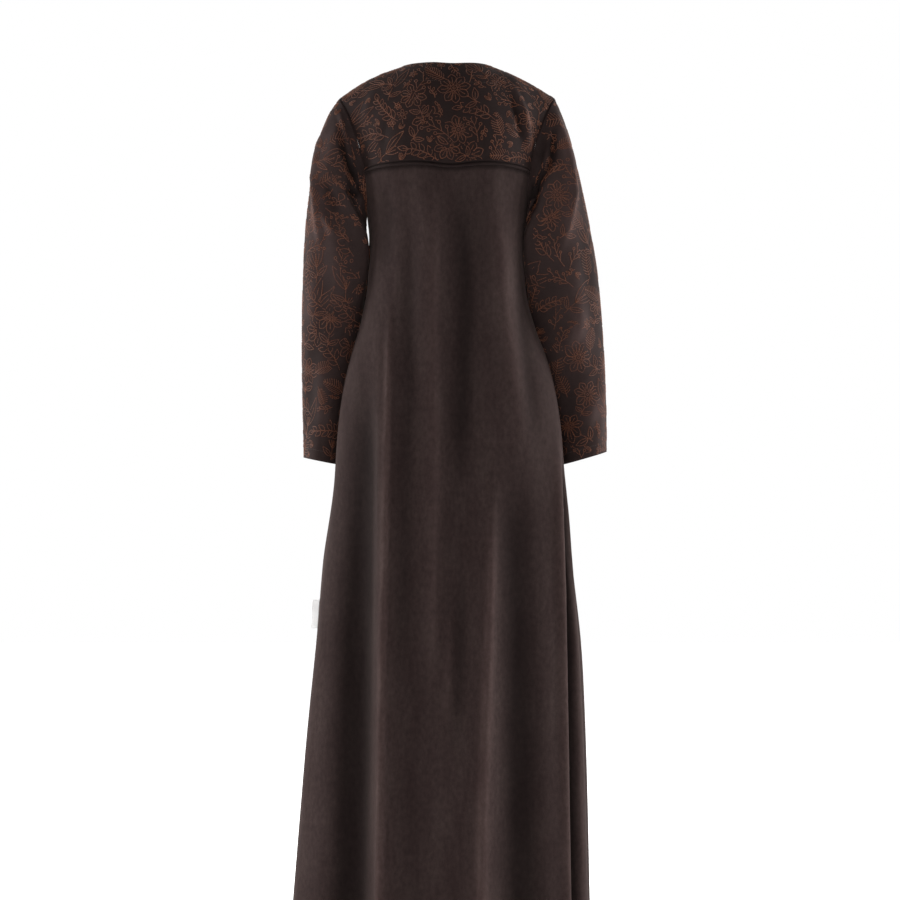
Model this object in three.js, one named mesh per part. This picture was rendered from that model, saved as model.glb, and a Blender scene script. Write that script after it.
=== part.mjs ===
// A long A-line abaya in the shape it takes when it is worn, with nobody inside it: one back panel,
// a back yoke, two fronts that lap at the centre, two set-in sleeves and a label in the left side seam.
//
// Millimetres, +Z up. The origin is in the middle of the neck opening, 14 mm below and 10 mm behind the
// line between the two points where the shoulder seams meet the neckline. The front faces -Y and the
// wearer's left is +X. Angles round the body are bearings seen from above: 0 is the centre back, 90 the
// left side and 180 the centre front.
import * as THREE from "three";

const CLOTH = 1.4; // thickness of one layer
const SEAM_GAP = 0.3; // space left between two pieces where they are sewn together
const HEM_Z = -1480; // the hem, so the back is about 1.49 m long
const FRONT_LAP = 20; // each front runs this far past the centre front
const LAP_STEP = 2.1; // the left front lies this far under the right one where they lap
const LAP_BLEND = 70; // and comes back to its own surface over this width
const SQUARENESS = 0.12; // 0 makes each section of the body a plain ellipse

const SHOULDER_TIP = { x: 188, y: -5, z: -40 };
const UNDERARM = { x: 140, y: 0, z: -246 };
const ARMHOLE_HALF_DEPTH = 46; // front to back
const ARMHOLE_BOW = 15; // how far the armhole curves in towards the body at half its height
const NECK = { halfWidth: 80, y: -10, z: 14, backDepth: 60, frontDepth: 62, backRidge: 34, frontRidge: -55 };
const SHOULDER_RISE = { 1: 6.5, "-1": 4 }; // how far each shoulder seam arches above a straight line
const SHOULDER_FULLNESS = 2.4; // 2 would round the shoulders off as an ellipse from back to front

const ARMHOLE_POINTS = 32; // points round the armhole, shared by the sleeve and the body
const YOKE_STEPS = 9; // of those, the steps from the shoulder tip down to the yoke seam
const BACK_COLUMNS = 40;
const FRONT_COLUMNS = 16;
const SLEEVE_RINGS = 15;
const NECK_SHARE = 0.5; // where the neckline meets the shoulder seam, as a share of the panel's half width

// The body's half widths to the left and right, and its depths to the back and front, from the yoke
// seam down to the hem.
const OUTLINE = [
  { z: -165, left: 141, right: 141, back: 103, front: 115 },
  { z: -246, left: 140, right: 140, back: 104, front: 126 },
  { z: -285, left: 136.5, right: 135.5, back: 104, front: 129 },
  { z: -335, left: 139, right: 136, back: 103.5, front: 128 },
  { z: -390, left: 145, right: 142.5, back: 103.5, front: 126 },
  { z: -440, left: 156, right: 156, back: 105, front: 126 },
  { z: -500, left: 173.5, right: 178.5, back: 109, front: 129 },
  { z: -560, left: 187, right: 194, back: 114, front: 133 },
  { z: -630, left: 196, right: 204, back: 120, front: 139 },
  { z: -720, left: 203, right: 212, back: 128, front: 147 },
  { z: -850, left: 217, right: 222, back: 140, front: 157 },
  { z: -1000, left: 229, right: 234, back: 153, front: 168 },
  { z: -1200, left: 246, right: 243, back: 171, front: 184 },
  { z: -1480, left: 269, right: 250, back: 196, front: 206 },
];

// Heights of the body's rows below the underarm.
const SKIRT_ROWS = [
  -265, -300, -340, -380, -425, -475, -530, -590, -655, -725, -805, -890, -980, -1075, -1175, -1275,
  -1380, HEM_Z,
];

// The long soft folds of the back and fronts. Each starts at `from`, has its full height at `full`,
// begins to fade at `until` and is gone at `gone`. It runs from xTop to xHem, and height is outwards.
const FOLDS = [
  { face: "back", xTop: 112, xHem: 110, from: -370, full: -700, until: -1600, gone: -1700, height: 17, width: 19 },
  { face: "back", xTop: 152, xHem: 168, from: -520, full: -1050, until: -1600, gone: -1700, height: -24, width: 36 },
  { face: "back", xTop: 34, xHem: 24, from: -120, full: -260, until: -650, gone: -1150, height: 6, width: 24 },
  { face: "back", xTop: -18, xHem: -14, from: -120, full: -260, until: -800, gone: -1250, height: -7, width: 30 },
  { face: "back", xTop: -84, xHem: -190, from: -120, full: -280, until: -480, gone: -760, height: 7, width: 26 },
  { face: "back", xTop: -84, xHem: -56, from: -560, full: -1250, until: -1600, gone: -1700, height: 15, width: 22 },
  { face: "back", xTop: -118, xHem: -112, from: -760, full: -1350, until: -1600, gone: -1700, height: -12, width: 32 },
  { face: "back", xTop: 66, xHem: 62, from: -640, full: -1250, until: -1600, gone: -1700, height: -9, width: 26 },
  { face: "front", xTop: 96, xHem: 150, from: -330, full: -900, until: -1600, gone: -1700, height: 17, width: 26 },
  { face: "front", xTop: 70, xHem: 100, from: -380, full: -900, until: -1600, gone: -1700, height: -13, width: 26 },
  { face: "front", xTop: 44, xHem: 52, from: -420, full: -1000, until: -1600, gone: -1700, height: 12, width: 24 },
  { face: "front", xTop: -52, xHem: -66, from: -360, full: -950, until: -1600, gone: -1700, height: 15, width: 25 },
  { face: "front", xTop: -80, xHem: -112, from: -400, full: -1000, until: -1600, gone: -1700, height: -12, width: 27 },
  { face: "front", xTop: -104, xHem: -160, from: -330, full: -850, until: -1600, gone: -1700, height: 16, width: 26 },
];

// Folds down the sides, placed by bearing, in degrees. The first two are where the sleeves press in.
const SIDE_FOLDS = [
  { bearing: 103, from: -300, full: -380, until: -700, gone: -860, height: -15, width: 17 },
  { bearing: -103, from: -300, full: -380, until: -700, gone: -860, height: -15, width: 17 },
  { bearing: -62, from: -560, full: -800, until: -1600, gone: -1700, height: 12, width: 9 },
  { bearing: -84, from: -600, full: -950, until: -1600, gone: -1700, height: -27, width: 10 },
  { bearing: -106, from: -760, full: -1050, until: -1600, gone: -1700, height: 9, width: 12 },
  { bearing: 72, from: -700, full: -1200, until: -1600, gone: -1700, height: 8, width: 10 },
];

const ARMHOLE_ROW = {
  at: 0,
  outX: SHOULDER_TIP.x,
  outZ: SHOULDER_TIP.z,
  inX: UNDERARM.x,
  inZ: UNDERARM.z,
  depth: ARMHOLE_HALF_DEPTH,
  y: -2.5,
  bow: ARMHOLE_BOW,
  tuck: 0,
};

// Each sleeve from armhole (0) to cuff (1): the outer line, the inner line, half the depth from front
// to back, the middle's y, how far the front and back curve in towards the body, and how far the inner
// back is tucked behind the body's side.
const LEFT_SLEEVE = [
  ARMHOLE_ROW,
  { at: 0.07, outX: 206.5, outZ: -68, inX: 141, inZ: -258, depth: 56, y: -1, bow: 8, tuck: 0 },
  { at: 0.18, outX: 223, outZ: -116, inX: 141, inZ: -278, depth: 61, y: -2, bow: 2, tuck: 5 },
  { at: 0.3, outX: 238, outZ: -187, inX: 140.5, inZ: -304, depth: 62, y: -3, bow: 0, tuck: 41 },
  { at: 0.42, outX: 248, outZ: -262, inX: 142, inZ: -342, depth: 60, y: -8, bow: 0, tuck: 49 },
  { at: 0.54, outX: 252.5, outZ: -335, inX: 144.5, inZ: -392, depth: 58, y: -14, bow: 0, tuck: 30 },
  { at: 0.66, outX: 255, outZ: -415, inX: 151, inZ: -452, depth: 57, y: -21, bow: 0, tuck: 0 },
  { at: 0.78, outX: 256, outZ: -500, inX: 166, inZ: -525, depth: 56, y: -28, bow: 0, tuck: 0 },
  { at: 0.9, outX: 255, outZ: -592, inX: 182, inZ: -610, depth: 56, y: -36, bow: 0, tuck: 0 },
  { at: 1, outX: 254, outZ: -669, inX: 190, inZ: -682, depth: 57, y: -42, bow: 0, tuck: 0 },
];
const RIGHT_SLEEVE = [
  ARMHOLE_ROW,
  { at: 0.07, outX: 199, outZ: -67, inX: 139.5, inZ: -258, depth: 56, y: -1, bow: 8, tuck: 2 },
  { at: 0.18, outX: 215, outZ: -113, inX: 138, inZ: -278, depth: 61, y: -1, bow: 0, tuck: 28 },
  { at: 0.3, outX: 234, outZ: -190, inX: 138.2, inZ: -304, depth: 62, y: -3, bow: 0, tuck: 46 },
  { at: 0.42, outX: 249.5, outZ: -262, inX: 139.5, inZ: -344, depth: 60, y: -8, bow: 0, tuck: 50 },
  { at: 0.54, outX: 263, outZ: -338, inX: 142, inZ: -394, depth: 58, y: -14, bow: 0, tuck: 32 },
  { at: 0.66, outX: 271, outZ: -415, inX: 150, inZ: -454, depth: 57, y: -21, bow: 0, tuck: 0 },
  { at: 0.78, outX: 277, outZ: -500, inX: 172.5, inZ: -527, depth: 56, y: -28, bow: 0, tuck: 0 },
  { at: 0.9, outX: 281, outZ: -585, inX: 192, inZ: -612, depth: 56, y: -36, bow: 0, tuck: 0 },
  { at: 1, outX: 282, outZ: -659, inX: 203, inZ: -682, depth: 57, y: -42, bow: 0, tuck: 0 },
];

// Folds of the sleeves. `round` is the angle from the outer line towards the back, in degrees, at the
// fold's upper and lower end, and `upper` and `lower` are those ends as shares of the sleeve.
const SLEEVE_FOLDS = [
  { side: 1, roundUpper: 52, roundLower: 40, upper: 0.05, lower: 0.62, height: 6, width: 15 },
  { side: 1, roundUpper: 92, roundLower: 135, upper: 0.0, lower: 0.3, height: -9, width: 16 },
  { side: 1, roundUpper: 60, roundLower: 95, upper: 0.34, lower: 0.62, height: 5, width: 14 },
  { side: 1, roundUpper: 80, roundLower: 30, upper: 0.6, lower: 1.0, height: -4, width: 20 },
  { side: -1, roundUpper: 40, roundLower: 62, upper: 0.04, lower: 0.5, height: 7, width: 15 },
  { side: -1, roundUpper: 72, roundLower: 128, upper: 0.0, lower: 0.3, height: -11, width: 17 },
  { side: -1, roundUpper: 60, roundLower: 80, upper: 0.48, lower: 0.8, height: 6, width: 15 },
  { side: -1, roundUpper: 25, roundLower: 60, upper: 0.74, lower: 1.02, height: 5, width: 16 },
  { side: 1, roundUpper: -60, roundLower: -110, upper: 0.02, lower: 0.34, height: -8, width: 18 },
  { side: -1, roundUpper: -60, roundLower: -110, upper: 0.02, lower: 0.34, height: -8, width: 18 },
  { side: 1, roundUpper: -110, roundLower: -60, upper: 0.4, lower: 0.75, height: 5, width: 20 },
  { side: -1, roundUpper: -110, roundLower: -60, upper: 0.4, lower: 0.75, height: 5, width: 20 },
];

// The fold that drags across the right of the yoke, from near the neck to the armhole.
const YOKE_FOLD = { shareTop: -0.6, shareSeam: -1.0, height: 6, width: 0.085 };

// Columns of the back panel that are drawn to the sharpest folds. Each is at `share` on a plain grid and
// runs from xTop to xHem further down, with its two neighbours at `spread` from it.
const FOLLOWED = [
  { share: -0.2, xTop: -84, xHem: -56, spread: 14 },
  { share: 0.35, xTop: 112, xHem: 110, spread: 11 },
];
const FOLLOW_FROM = -246;
const FOLLOW_FULL = -600;

const LABEL = { z: -943, stands: 13, height: 50, thick: 1.1 };

const rad = THREE.MathUtils.degToRad;
const deg = THREE.MathUtils.radToDeg;
const clamp = THREE.MathUtils.clamp;
const mix = THREE.MathUtils.lerp;
const smooth = (share) => THREE.MathUtils.smoothstep(share, 0, 1);
const hump = (distance, width) => Math.exp(-((distance / width) ** 2));
const point = (x, y, z) => new THREE.Vector3(x, y, z);

// A smooth line through the rows of a table: one column's value at a place along another column.
function lineThrough(rows, along, column) {
  const places = rows.map((row) => row[along]);
  const values = rows.map((row) => row[column]);
  const last = rows.length - 1;
  const slopes = values.map((_, i) => {
    const before = Math.max(i - 1, 0);
    const after = Math.min(i + 1, last);
    return (values[after] - values[before]) / (places[after] - places[before]);
  });
  const rising = places[last] > places[0];
  return (place) => {
    let i = 0;
    while (i < last - 1 && (rising ? place > places[i + 1] : place < places[i + 1])) i += 1;
    const span = places[i + 1] - places[i];
    const t = clamp((place - places[i]) / span, 0, 1);
    const start = values[i] * (1 + 2 * t) * (1 - t) ** 2 + slopes[i] * span * t * (1 - t) ** 2;
    const end = values[i + 1] * (3 - 2 * t) * t ** 2 - slopes[i + 1] * span * t ** 2 * (1 - t);
    return start + end;
  };
}

const outline = {
  left: lineThrough(OUTLINE, "z", "left"),
  right: lineThrough(OUTLINE, "z", "right"),
  back: lineThrough(OUTLINE, "z", "back"),
  front: lineThrough(OUTLINE, "z", "front"),
};

// How much of a fold there is at a height.
function foldShare(fold, z) {
  const growing = smooth((fold.from - z) / (fold.from - fold.full));
  const fading = smooth((fold.until - z) / (fold.until - fold.gone));
  return growing * (1 - fading);
}

// A point on the seam between sleeve and body. The angle is 0 at the shoulder tip, 90 at the back and
// 180 at the underarm, in degrees, and side is 1 for the left and -1 for the right.
function armholePoint(side, angle) {
  const c = Math.cos(rad(angle));
  const s = Math.sin(rad(angle));
  const x = (SHOULDER_TIP.x + UNDERARM.x) / 2 + ((SHOULDER_TIP.x - UNDERARM.x) / 2) * c;
  const y = (SHOULDER_TIP.y + UNDERARM.y) / 2 + ((SHOULDER_TIP.y - UNDERARM.y) / 2) * c;
  const z = (SHOULDER_TIP.z + UNDERARM.z) / 2 + ((SHOULDER_TIP.z - UNDERARM.z) / 2) * c;
  return point(side * (x - ARMHOLE_BOW * s * s), y + ARMHOLE_HALF_DEPTH * s, z);
}

// The direction out of the cloth along that seam, the same for sleeve and body, so that their edges mitre.
function armholeOut(side, angle) {
  const halfHeight = (SHOULDER_TIP.z - UNDERARM.z) / 2;
  const c = Math.cos(rad(angle));
  const s = Math.sin(rad(angle));
  const sideways = 0.45 * Math.max(c, 0) + 0.9 * Math.max(-c, 0);
  return point(side * sideways, (s * halfHeight) / ARMHOLE_HALF_DEPTH, c).normalize();
}

const armholeStep = 360 / ARMHOLE_POINTS;
const yokeCorner = YOKE_STEPS * armholeStep;
const yokeCornerZ = armholePoint(1, yokeCorner).z;

// The armhole's angle at a height, on the back half.
function armholeAngleAt(z) {
  const middle = (SHOULDER_TIP.z + UNDERARM.z) / 2;
  return deg(Math.acos(clamp((z - middle) / (SHOULDER_TIP.z - middle), -1, 1)));
}

const across = (angle) => Math.sin(rad(angle)) * (1 + SQUARENESS * Math.cos(rad(angle)) ** 2);
const through = (angle) => Math.cos(rad(angle)) * (1 + SQUARENESS * Math.sin(rad(angle)) ** 2);

// Where the side seam or the armhole is at a height, as distances from the body's middle.
function edgeAt(face, side, z) {
  if (z <= UNDERARM.z) return { x: side > 0 ? outline.left(z) : outline.right(z), y: 0 };
  const angle = armholeAngleAt(z);
  const seam = armholePoint(1, face === "back" ? angle : -angle);
  return { x: seam.x, y: Math.abs(seam.y) };
}

// Degrees that the back or a front bends round to at a height: 90 below the underarm, and above it
// to where the plain surface reaches the armhole.
function reachAt(face, z) {
  if (z <= UNDERARM.z) return 90;
  const edge = edgeAt(face, 1, z);
  let low = 0;
  let high = 90;
  for (let step = 0; step < 30; step += 1) {
    const middle = (low + high) / 2;
    if (outline[face](z) * through(middle) > edge.y) low = middle;
    else high = middle;
  }
  return low;
}

// How far the folds lift the cloth at a point of the body's plain surface.
function foldHeight(x, y, z, halfWidth, depth) {
  const face = y >= 0 ? "back" : "front";
  const bearing = deg(Math.atan2(x / halfWidth, y / depth));
  const down = (UNDERARM.z - z) / (UNDERARM.z - HEM_Z);
  let height = 0;
  for (const fold of FOLDS) {
    if (fold.face !== face) continue;
    const distance = x - mix(fold.xTop, fold.xHem, down);
    height += fold.height * foldShare(fold, z) * hump(distance, fold.width) * smooth(Math.abs(y) / 30);
  }
  for (const fold of SIDE_FOLDS) {
    height += fold.height * foldShare(fold, z) * hump(bearing - fold.bearing, fold.width);
  }
  return height;
}

// A point on the back or front, at a share of its half width towards +X and at a height, up to the
// yoke seam's height.
function sheetPoint(face, share, z) {
  const side = Math.sign(share) || 1;
  const sign = face === "back" ? 1 : -1;
  const reach = reachAt(face, z);
  const angle = share * reach;
  const edge = edgeAt(face, side, z);
  const depth = outline[face](z);
  const x = (edge.x * across(angle)) / across(reach);
  const y = sign * depth * through(angle);
  const out = point(x / edge.x ** 2, y / depth ** 2, 0).normalize();
  const nearEdge = z > UNDERARM.z ? 1 - Math.abs(share) ** 6 : 1;
  return point(x, y, z).addScaledVector(out, foldHeight(x, y, z, edge.x, depth) * nearEdge);
}

// The direction out of the cloth along the side seam, the same for the back and the fronts.
function sideSeamOut(side, z) {
  const above = sheetPoint("back", side, z + 10);
  const below = sheetPoint("back", side, z - 10);
  return point(side * 20, 0, side * (below.x - above.x)).normalize();
}

// The yoke seam dips at the armholes and a little at the centre back.
function yokeSeamZ(share) {
  const arch = 7 * (1 - share ** 2) - 7 * hump(share + 0.03, 0.2);
  return yokeCornerZ + arch;
}

// Where a column would meet the shoulder's ridge, if the neck were not cut out.
function ridgePoint(face, share) {
  const away = Math.abs(share);
  const tip = SHOULDER_TIP.x;
  const straight = (NECK.halfWidth / tip - NECK_SHARE ** 2) / (NECK_SHARE - NECK_SHARE ** 2);
  const x = tip * (straight * away + (1 - straight) * away ** 2);
  const out = (x - NECK.halfWidth) / (tip - NECK.halfWidth);
  const inside = Math.max(1 - (x / NECK.halfWidth) ** 2, 0);
  const dip = face === "back" ? 0 : (NECK.frontRidge - NECK.backRidge) * inside ** 1.2;
  const toNeck = mix(NECK.z, NECK.backRidge, inside) + dip;
  const rise = SHOULDER_RISE[share < 0 ? -1 : 1] * Math.sin(Math.PI * out);
  const z = out > 0 ? mix(NECK.z, SHOULDER_TIP.z, out) + rise : toNeck;
  return point(Math.sign(share) * x, mix(NECK.y, SHOULDER_TIP.y, Math.max(out, 0)), z);
}

// The direction out of the cloth along the shoulder seam, the same for the yoke and the fronts.
function shoulderOut(side) {
  return point(side * (NECK.z - SHOULDER_TIP.z), 0, SHOULDER_TIP.x - NECK.halfWidth).normalize();
}

// A point on a column's curve from the yoke seam, at turn 0, over to the shoulder's ridge, at turn 90.
function archPoint(low, ridge, turn) {
  const flat = Math.cos(rad(turn)) ** (2 / SHOULDER_FULLNESS);
  const rise = Math.sin(rad(turn)) ** (2 / SHOULDER_FULLNESS);
  const x = mix(low.x, ridge.x, Math.sin(rad(turn)) ** 2);
  return point(x, mix(ridge.y, low.y, flat), mix(low.z, ridge.z, rise));
}

// The turn at which a column's curve ends: at the neckline, or 90 where it reaches the shoulder seam.
function lastTurn(face, low, ridge) {
  if (Math.abs(ridge.x) >= NECK.halfWidth - 1e-6) return 90;
  const neckDepth = face === "back" ? NECK.backDepth : NECK.frontDepth;
  let outside = 0;
  let within = 90;
  for (let step = 0; step < 30; step += 1) {
    const middle = (outside + within) / 2;
    const at = archPoint(low, ridge, middle);
    if ((at.x / NECK.halfWidth) ** 2 + ((at.y - NECK.y) / neckDepth) ** 2 > 1) outside = middle;
    else within = middle;
  }
  return within;
}

// A point above the yoke seam's height. t is 0 there and 1 at the neckline and shoulder seam.
function upperPoint(face, shareLow, shareTop, t) {
  const low = sheetPoint(face, shareLow, face === "back" ? yokeSeamZ(shareLow) : yokeCornerZ);
  const ridge = ridgePoint(face, shareTop);
  return archPoint(low, ridge, t * lastTurn(face, low, ridge));
}

// The same, with the outermost column brought onto the armhole and the yoke's own fold added.
function shapedUpperPoint(face, shareLow, shareTop, t) {
  const at = upperPoint(face, shareLow, shareTop, t);
  const side = Math.sign(shareLow) || 1;
  const angle = yokeCorner * (1 - t);
  const seam = armholePoint(side, face === "back" ? angle : -angle);
  const own = upperPoint(face, side, side, t);
  at.addScaledVector(seam.sub(own), Math.abs(shareLow) ** 6);
  if (face === "back") {
    const crest = mix(YOKE_FOLD.shareSeam, YOKE_FOLD.shareTop, t);
    const lift = YOKE_FOLD.height * Math.sin(Math.PI * clamp(t, 0, 1)) ** 0.7;
    const edge = 1 - Math.abs(shareLow) ** 8;
    at.y += lift * edge * hump(shareLow - crest, YOKE_FOLD.width);
  }
  return at;
}

const sleeveLines = new Map([
  [1, LEFT_SLEEVE],
  [-1, RIGHT_SLEEVE],
].map(([side, rows]) => {
  const lines = {};
  for (const column of ["outX", "outZ", "inX", "inZ", "depth", "y", "bow", "tuck"]) {
    lines[column] = lineThrough(rows, "at", column);
  }
  return [side, lines];
}));

function sleeveFoldHeight(side, angle, at) {
  let height = 0;
  for (const fold of SLEEVE_FOLDS) {
    if (fold.side !== side) continue;
    const along = (at - fold.upper) / (fold.lower - fold.upper);
    if (along < 0 || along > 1) continue;
    const crest = mix(fold.roundUpper, fold.roundLower, along);
    const distance = THREE.MathUtils.euclideanModulo(angle - crest + 180, 360) - 180;
    height += fold.height * Math.sin(Math.PI * along) ** 0.8 * hump(distance, fold.width);
  }
  return height;
}

// A point on a sleeve. The angle runs as the armhole's does, from the outer line towards the back.
function sleevePoint(side, angle, at) {
  const line = sleeveLines.get(side);
  const c = Math.cos(rad(angle));
  const s = Math.sin(rad(angle));
  const centre = point((line.outX(at) + line.inX(at)) / 2, line.y(at), (line.outZ(at) + line.inZ(at)) / 2);
  const half = point((line.outX(at) - line.inX(at)) / 2, 0, (line.outZ(at) - line.inZ(at)) / 2);
  half.y = at === 0 ? (SHOULDER_TIP.y - UNDERARM.y) / 2 : 0;
  const inwards = -line.bow(at) * s * s - line.tuck(at) * Math.max(s, 0) ** 2 * (1 - c) / 2;
  const spoke = half.clone().multiplyScalar(c).add(point(inwards, line.depth(at) * s, 0));
  const lift = sleeveFoldHeight(side, angle, at);
  spoke.addScaledVector(spoke.clone().normalize(), lift);
  centre.add(spoke);
  centre.x *= side;
  return centre;
}

// Directions out of a grid of points whose columns run clockwise seen from above and whose rows run down.
function gridOut(rows, r, c, closed) {
  const columns = rows[r].length;
  const before = closed ? (c + columns - 1) % columns : Math.max(c - 1, 0);
  const after = closed ? (c + 1) % columns : Math.min(c + 1, columns - 1);
  const alongRow = rows[r][after].clone().sub(rows[r][before]);
  const downColumn = rows[Math.min(r + 1, rows.length - 1)][c].clone().sub(rows[Math.max(r - 1, 0)][c]);
  return alongRow.cross(downColumn).normalize();
}

// A closed wall of cloth on a grid of outer points. `outAt` may give its own direction out at an edge.
function clothWall(rows, closed, outAt = () => null) {
  const outer = rows;
  const inner = rows.map((row, r) =>
    row.map((at, c) => {
      const out = outAt(r, c) ?? gridOut(rows, r, c, closed);
      return at.clone().addScaledVector(out, -CLOTH);
    }),
  );
  const height = rows.length;
  const width = rows[0].length;
  const positions = [...outer.flat(), ...inner.flat()].flatMap((at) => at.toArray());
  const outerAt = (r, c) => r * width + (c % width);
  const innerAt = (r, c) => height * width + outerAt(r, c);
  const index = [];
  const quad = (a, b, c, d) => index.push(a, b, c, a, c, d);
  const spans = closed ? width : width - 1;
  for (let r = 0; r < height - 1; r += 1) {
    for (let c = 0; c < spans; c += 1) {
      quad(outerAt(r, c), outerAt(r, c + 1), outerAt(r + 1, c + 1), outerAt(r + 1, c));
      quad(innerAt(r, c), innerAt(r + 1, c), innerAt(r + 1, c + 1), innerAt(r, c + 1));
    }
  }
  for (let c = 0; c < spans; c += 1) {
    quad(outerAt(0, c + 1), outerAt(0, c), innerAt(0, c), innerAt(0, c + 1));
    quad(outerAt(height - 1, c), outerAt(height - 1, c + 1), innerAt(height - 1, c + 1), innerAt(height - 1, c));
  }
  if (!closed) {
    for (let r = 0; r < height - 1; r += 1) {
      quad(outerAt(r, 0), outerAt(r + 1, 0), innerAt(r + 1, 0), innerAt(r, 0));
      quad(outerAt(r + 1, width - 1), outerAt(r, width - 1), innerAt(r, width - 1), innerAt(r + 1, width - 1));
    }
  }
  const geometry = new THREE.BufferGeometry();
  geometry.setAttribute("position", new THREE.Float32BufferAttribute(positions, 3));
  geometry.setIndex(index);
  geometry.computeVertexNormals();
  return geometry;
}

const range = (count) => Array.from({ length: count }, (_, i) => i);
const backShares = range(BACK_COLUMNS + 1).map((i) => -1 + (2 * i) / BACK_COLUMNS);

// The share at which the skirt's plain surface reaches a place across the body.
function shareAtX(x, z) {
  const halfWidth = x > 0 ? outline.left(z) : outline.right(z);
  let low = 0;
  let high = 1;
  for (let step = 0; step < 30; step += 1) {
    const middle = (low + high) / 2;
    if (halfWidth * across(90 * middle) < Math.abs(x)) low = middle;
    else high = middle;
  }
  return Math.sign(x) * low;
}

// The shares of the skirt's back columns at a height.
function skirtShares(z) {
  const follow = smooth((FOLLOW_FROM - z) / (FOLLOW_FROM - FOLLOW_FULL));
  const down = (UNDERARM.z - z) / (UNDERARM.z - HEM_Z);
  const step = 2 / BACK_COLUMNS;
  const pairs = [[-1, -1]];
  for (const column of FOLLOWED) {
    for (const beside of [-1, 0, 1]) {
      const plain = column.share + beside * step;
      const x = mix(column.xTop, column.xHem, down) + beside * column.spread;
      pairs.push([plain, mix(plain, shareAtX(x, z), follow)]);
    }
  }
  pairs.push([1, 1]);
  return backShares.map((share) => {
    const next = Math.max(pairs.findIndex(([plain]) => plain >= share - 1e-9), 1);
    const [plainA, movedA] = pairs[next - 1];
    const [plainB, movedB] = pairs[next];
    return mix(movedA, movedB, (share - plainA) / (plainB - plainA));
  });
}

// Moves a point by half the seam's gap.
const apart = (at, x, y, z) => at.add(point(x, y, z).multiplyScalar(SEAM_GAP / 2));

function backYoke() {
  const rows = range(YOKE_STEPS + 1).map((step) => {
    const t = 1 - step / YOKE_STEPS;
    return backShares.map((share) => {
      const at = shapedUpperPoint("back", share, share, t);
      if (step === 0 && Math.abs(share) >= NECK_SHARE) apart(at, 0, 1, 0);
      if (step === YOKE_STEPS) apart(at, 0, 0, 1);
      return at;
    });
  });
  return clothWall(rows, false, (r, c) => {
    const share = backShares[c];
    const side = Math.sign(share);
    if (r === 0 && Math.abs(share) >= NECK_SHARE) return shoulderOut(side);
    if (Math.abs(share) === 1) return armholeOut(side, yokeCorner * (r / YOKE_STEPS));
    return null;
  });
}

const armholeRows = ARMHOLE_POINTS / 2 - YOKE_STEPS; // rows from the yoke seam down to the underarm

function backPanel() {
  const upper = range(armholeRows + 1).map((step) => {
    const z = armholePoint(1, yokeCorner + step * armholeStep).z;
    const level = 1 - step / armholeRows;
    return backShares.map((share) => {
      const at = sheetPoint("back", share, z + (yokeSeamZ(share) - yokeCornerZ) * level);
      if (step === 0) apart(at, 0, 0, -1);
      return at;
    });
  });
  const lower = SKIRT_ROWS.map((z) =>
    skirtShares(z).map((share, c) => {
      const at = sheetPoint("back", share, z);
      if (c === 0 || c === BACK_COLUMNS) apart(at, 0, 1, 0);
      return at;
    }),
  );
  return clothWall([...upper, ...lower], false, (r, c) => {
    const share = backShares[c];
    if (Math.abs(share) < 1) return null;
    if (r > armholeRows) return sideSeamOut(share, SKIRT_ROWS[r - armholeRows - 1]);
    return armholeOut(share, yokeCorner + r * armholeStep);
  });
}

// The shares of a front's columns, from the side to the lapped edge, given the lap as a share. Both
// fronts have columns at the lap's two edges and its middle, so they lie parallel there.
function frontShares(lap) {
  const half = FRONT_COLUMNS / 2;
  const outerHalf = range(half).map((i) => mix(1, NECK_SHARE, i / half));
  const innerHalf = range(half - 2).map((i) => mix(NECK_SHARE, lap, i / (half - 2)));
  return [...outerHalf, ...innerHalf, lap, 0, -lap];
}

// The lap as a share of the front's half width, at a height and at the neckline.
function lapShareAt(z) {
  const reach = reachAt("front", z);
  const edge = edgeAt("front", 1, z);
  return (FRONT_LAP * across(reach)) / (edge.x * rad(reach) * (1 + SQUARENESS));
}
const neckLapShare = (FRONT_LAP / NECK.halfWidth) * NECK_SHARE;

function frontPanel(side) {
  const under = side > 0;
  const finish = (rowPoints) => (under ? rowPoints : rowPoints.reverse());
  const yokeLevel = range(YOKE_STEPS).map((step) => {
    const t = 1 - step / YOKE_STEPS;
    const low = frontShares(lapShareAt(yokeCornerZ));
    const top = frontShares(neckLapShare);
    return finish(
      low.map((share, i) => {
        const at = shapedUpperPoint("front", side * share, side * top[i], t);
        if (step === 0 && top[i] >= NECK_SHARE) apart(at, 0, -1, 0);
        return at;
      }),
    );
  });
  const armholeLevel = range(armholeRows + 1).map((step) => {
    const z = armholePoint(1, yokeCorner + step * armholeStep).z;
    return finish(frontShares(lapShareAt(z)).map((share) => sheetPoint("front", side * share, z)));
  });
  const skirt = SKIRT_ROWS.map((z) =>
    finish(
      frontShares(lapShareAt(z)).map((share) => {
        const at = sheetPoint("front", side * share, z);
        if (share === 1) apart(at, 0, -1, 0);
        return at;
      }),
    ),
  );
  const plain = [...yokeLevel, ...armholeLevel, ...skirt];
  const lapped = plain.map((row, r) =>
    row.map((at, c) => {
      const nearCentre = smooth((LAP_BLEND - side * at.x) / (LAP_BLEND - FRONT_LAP));
      return at.clone().addScaledVector(gridOut(plain, r, c, false), -LAP_STEP * nearCentre);
    }),
  );
  const shoulderColumns = FRONT_COLUMNS / 2;
  return clothWall(under ? lapped : plain, false, (r, c) => {
    const fromSide = under ? c : FRONT_COLUMNS - c;
    if (r === 0 && fromSide <= shoulderColumns) return shoulderOut(side);
    if (fromSide > 0) return null;
    if (r > ARMHOLE_POINTS / 2) return sideSeamOut(side, SKIRT_ROWS[r - ARMHOLE_POINTS / 2 - 1]);
    return armholeOut(side, -r * armholeStep);
  });
}

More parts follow.
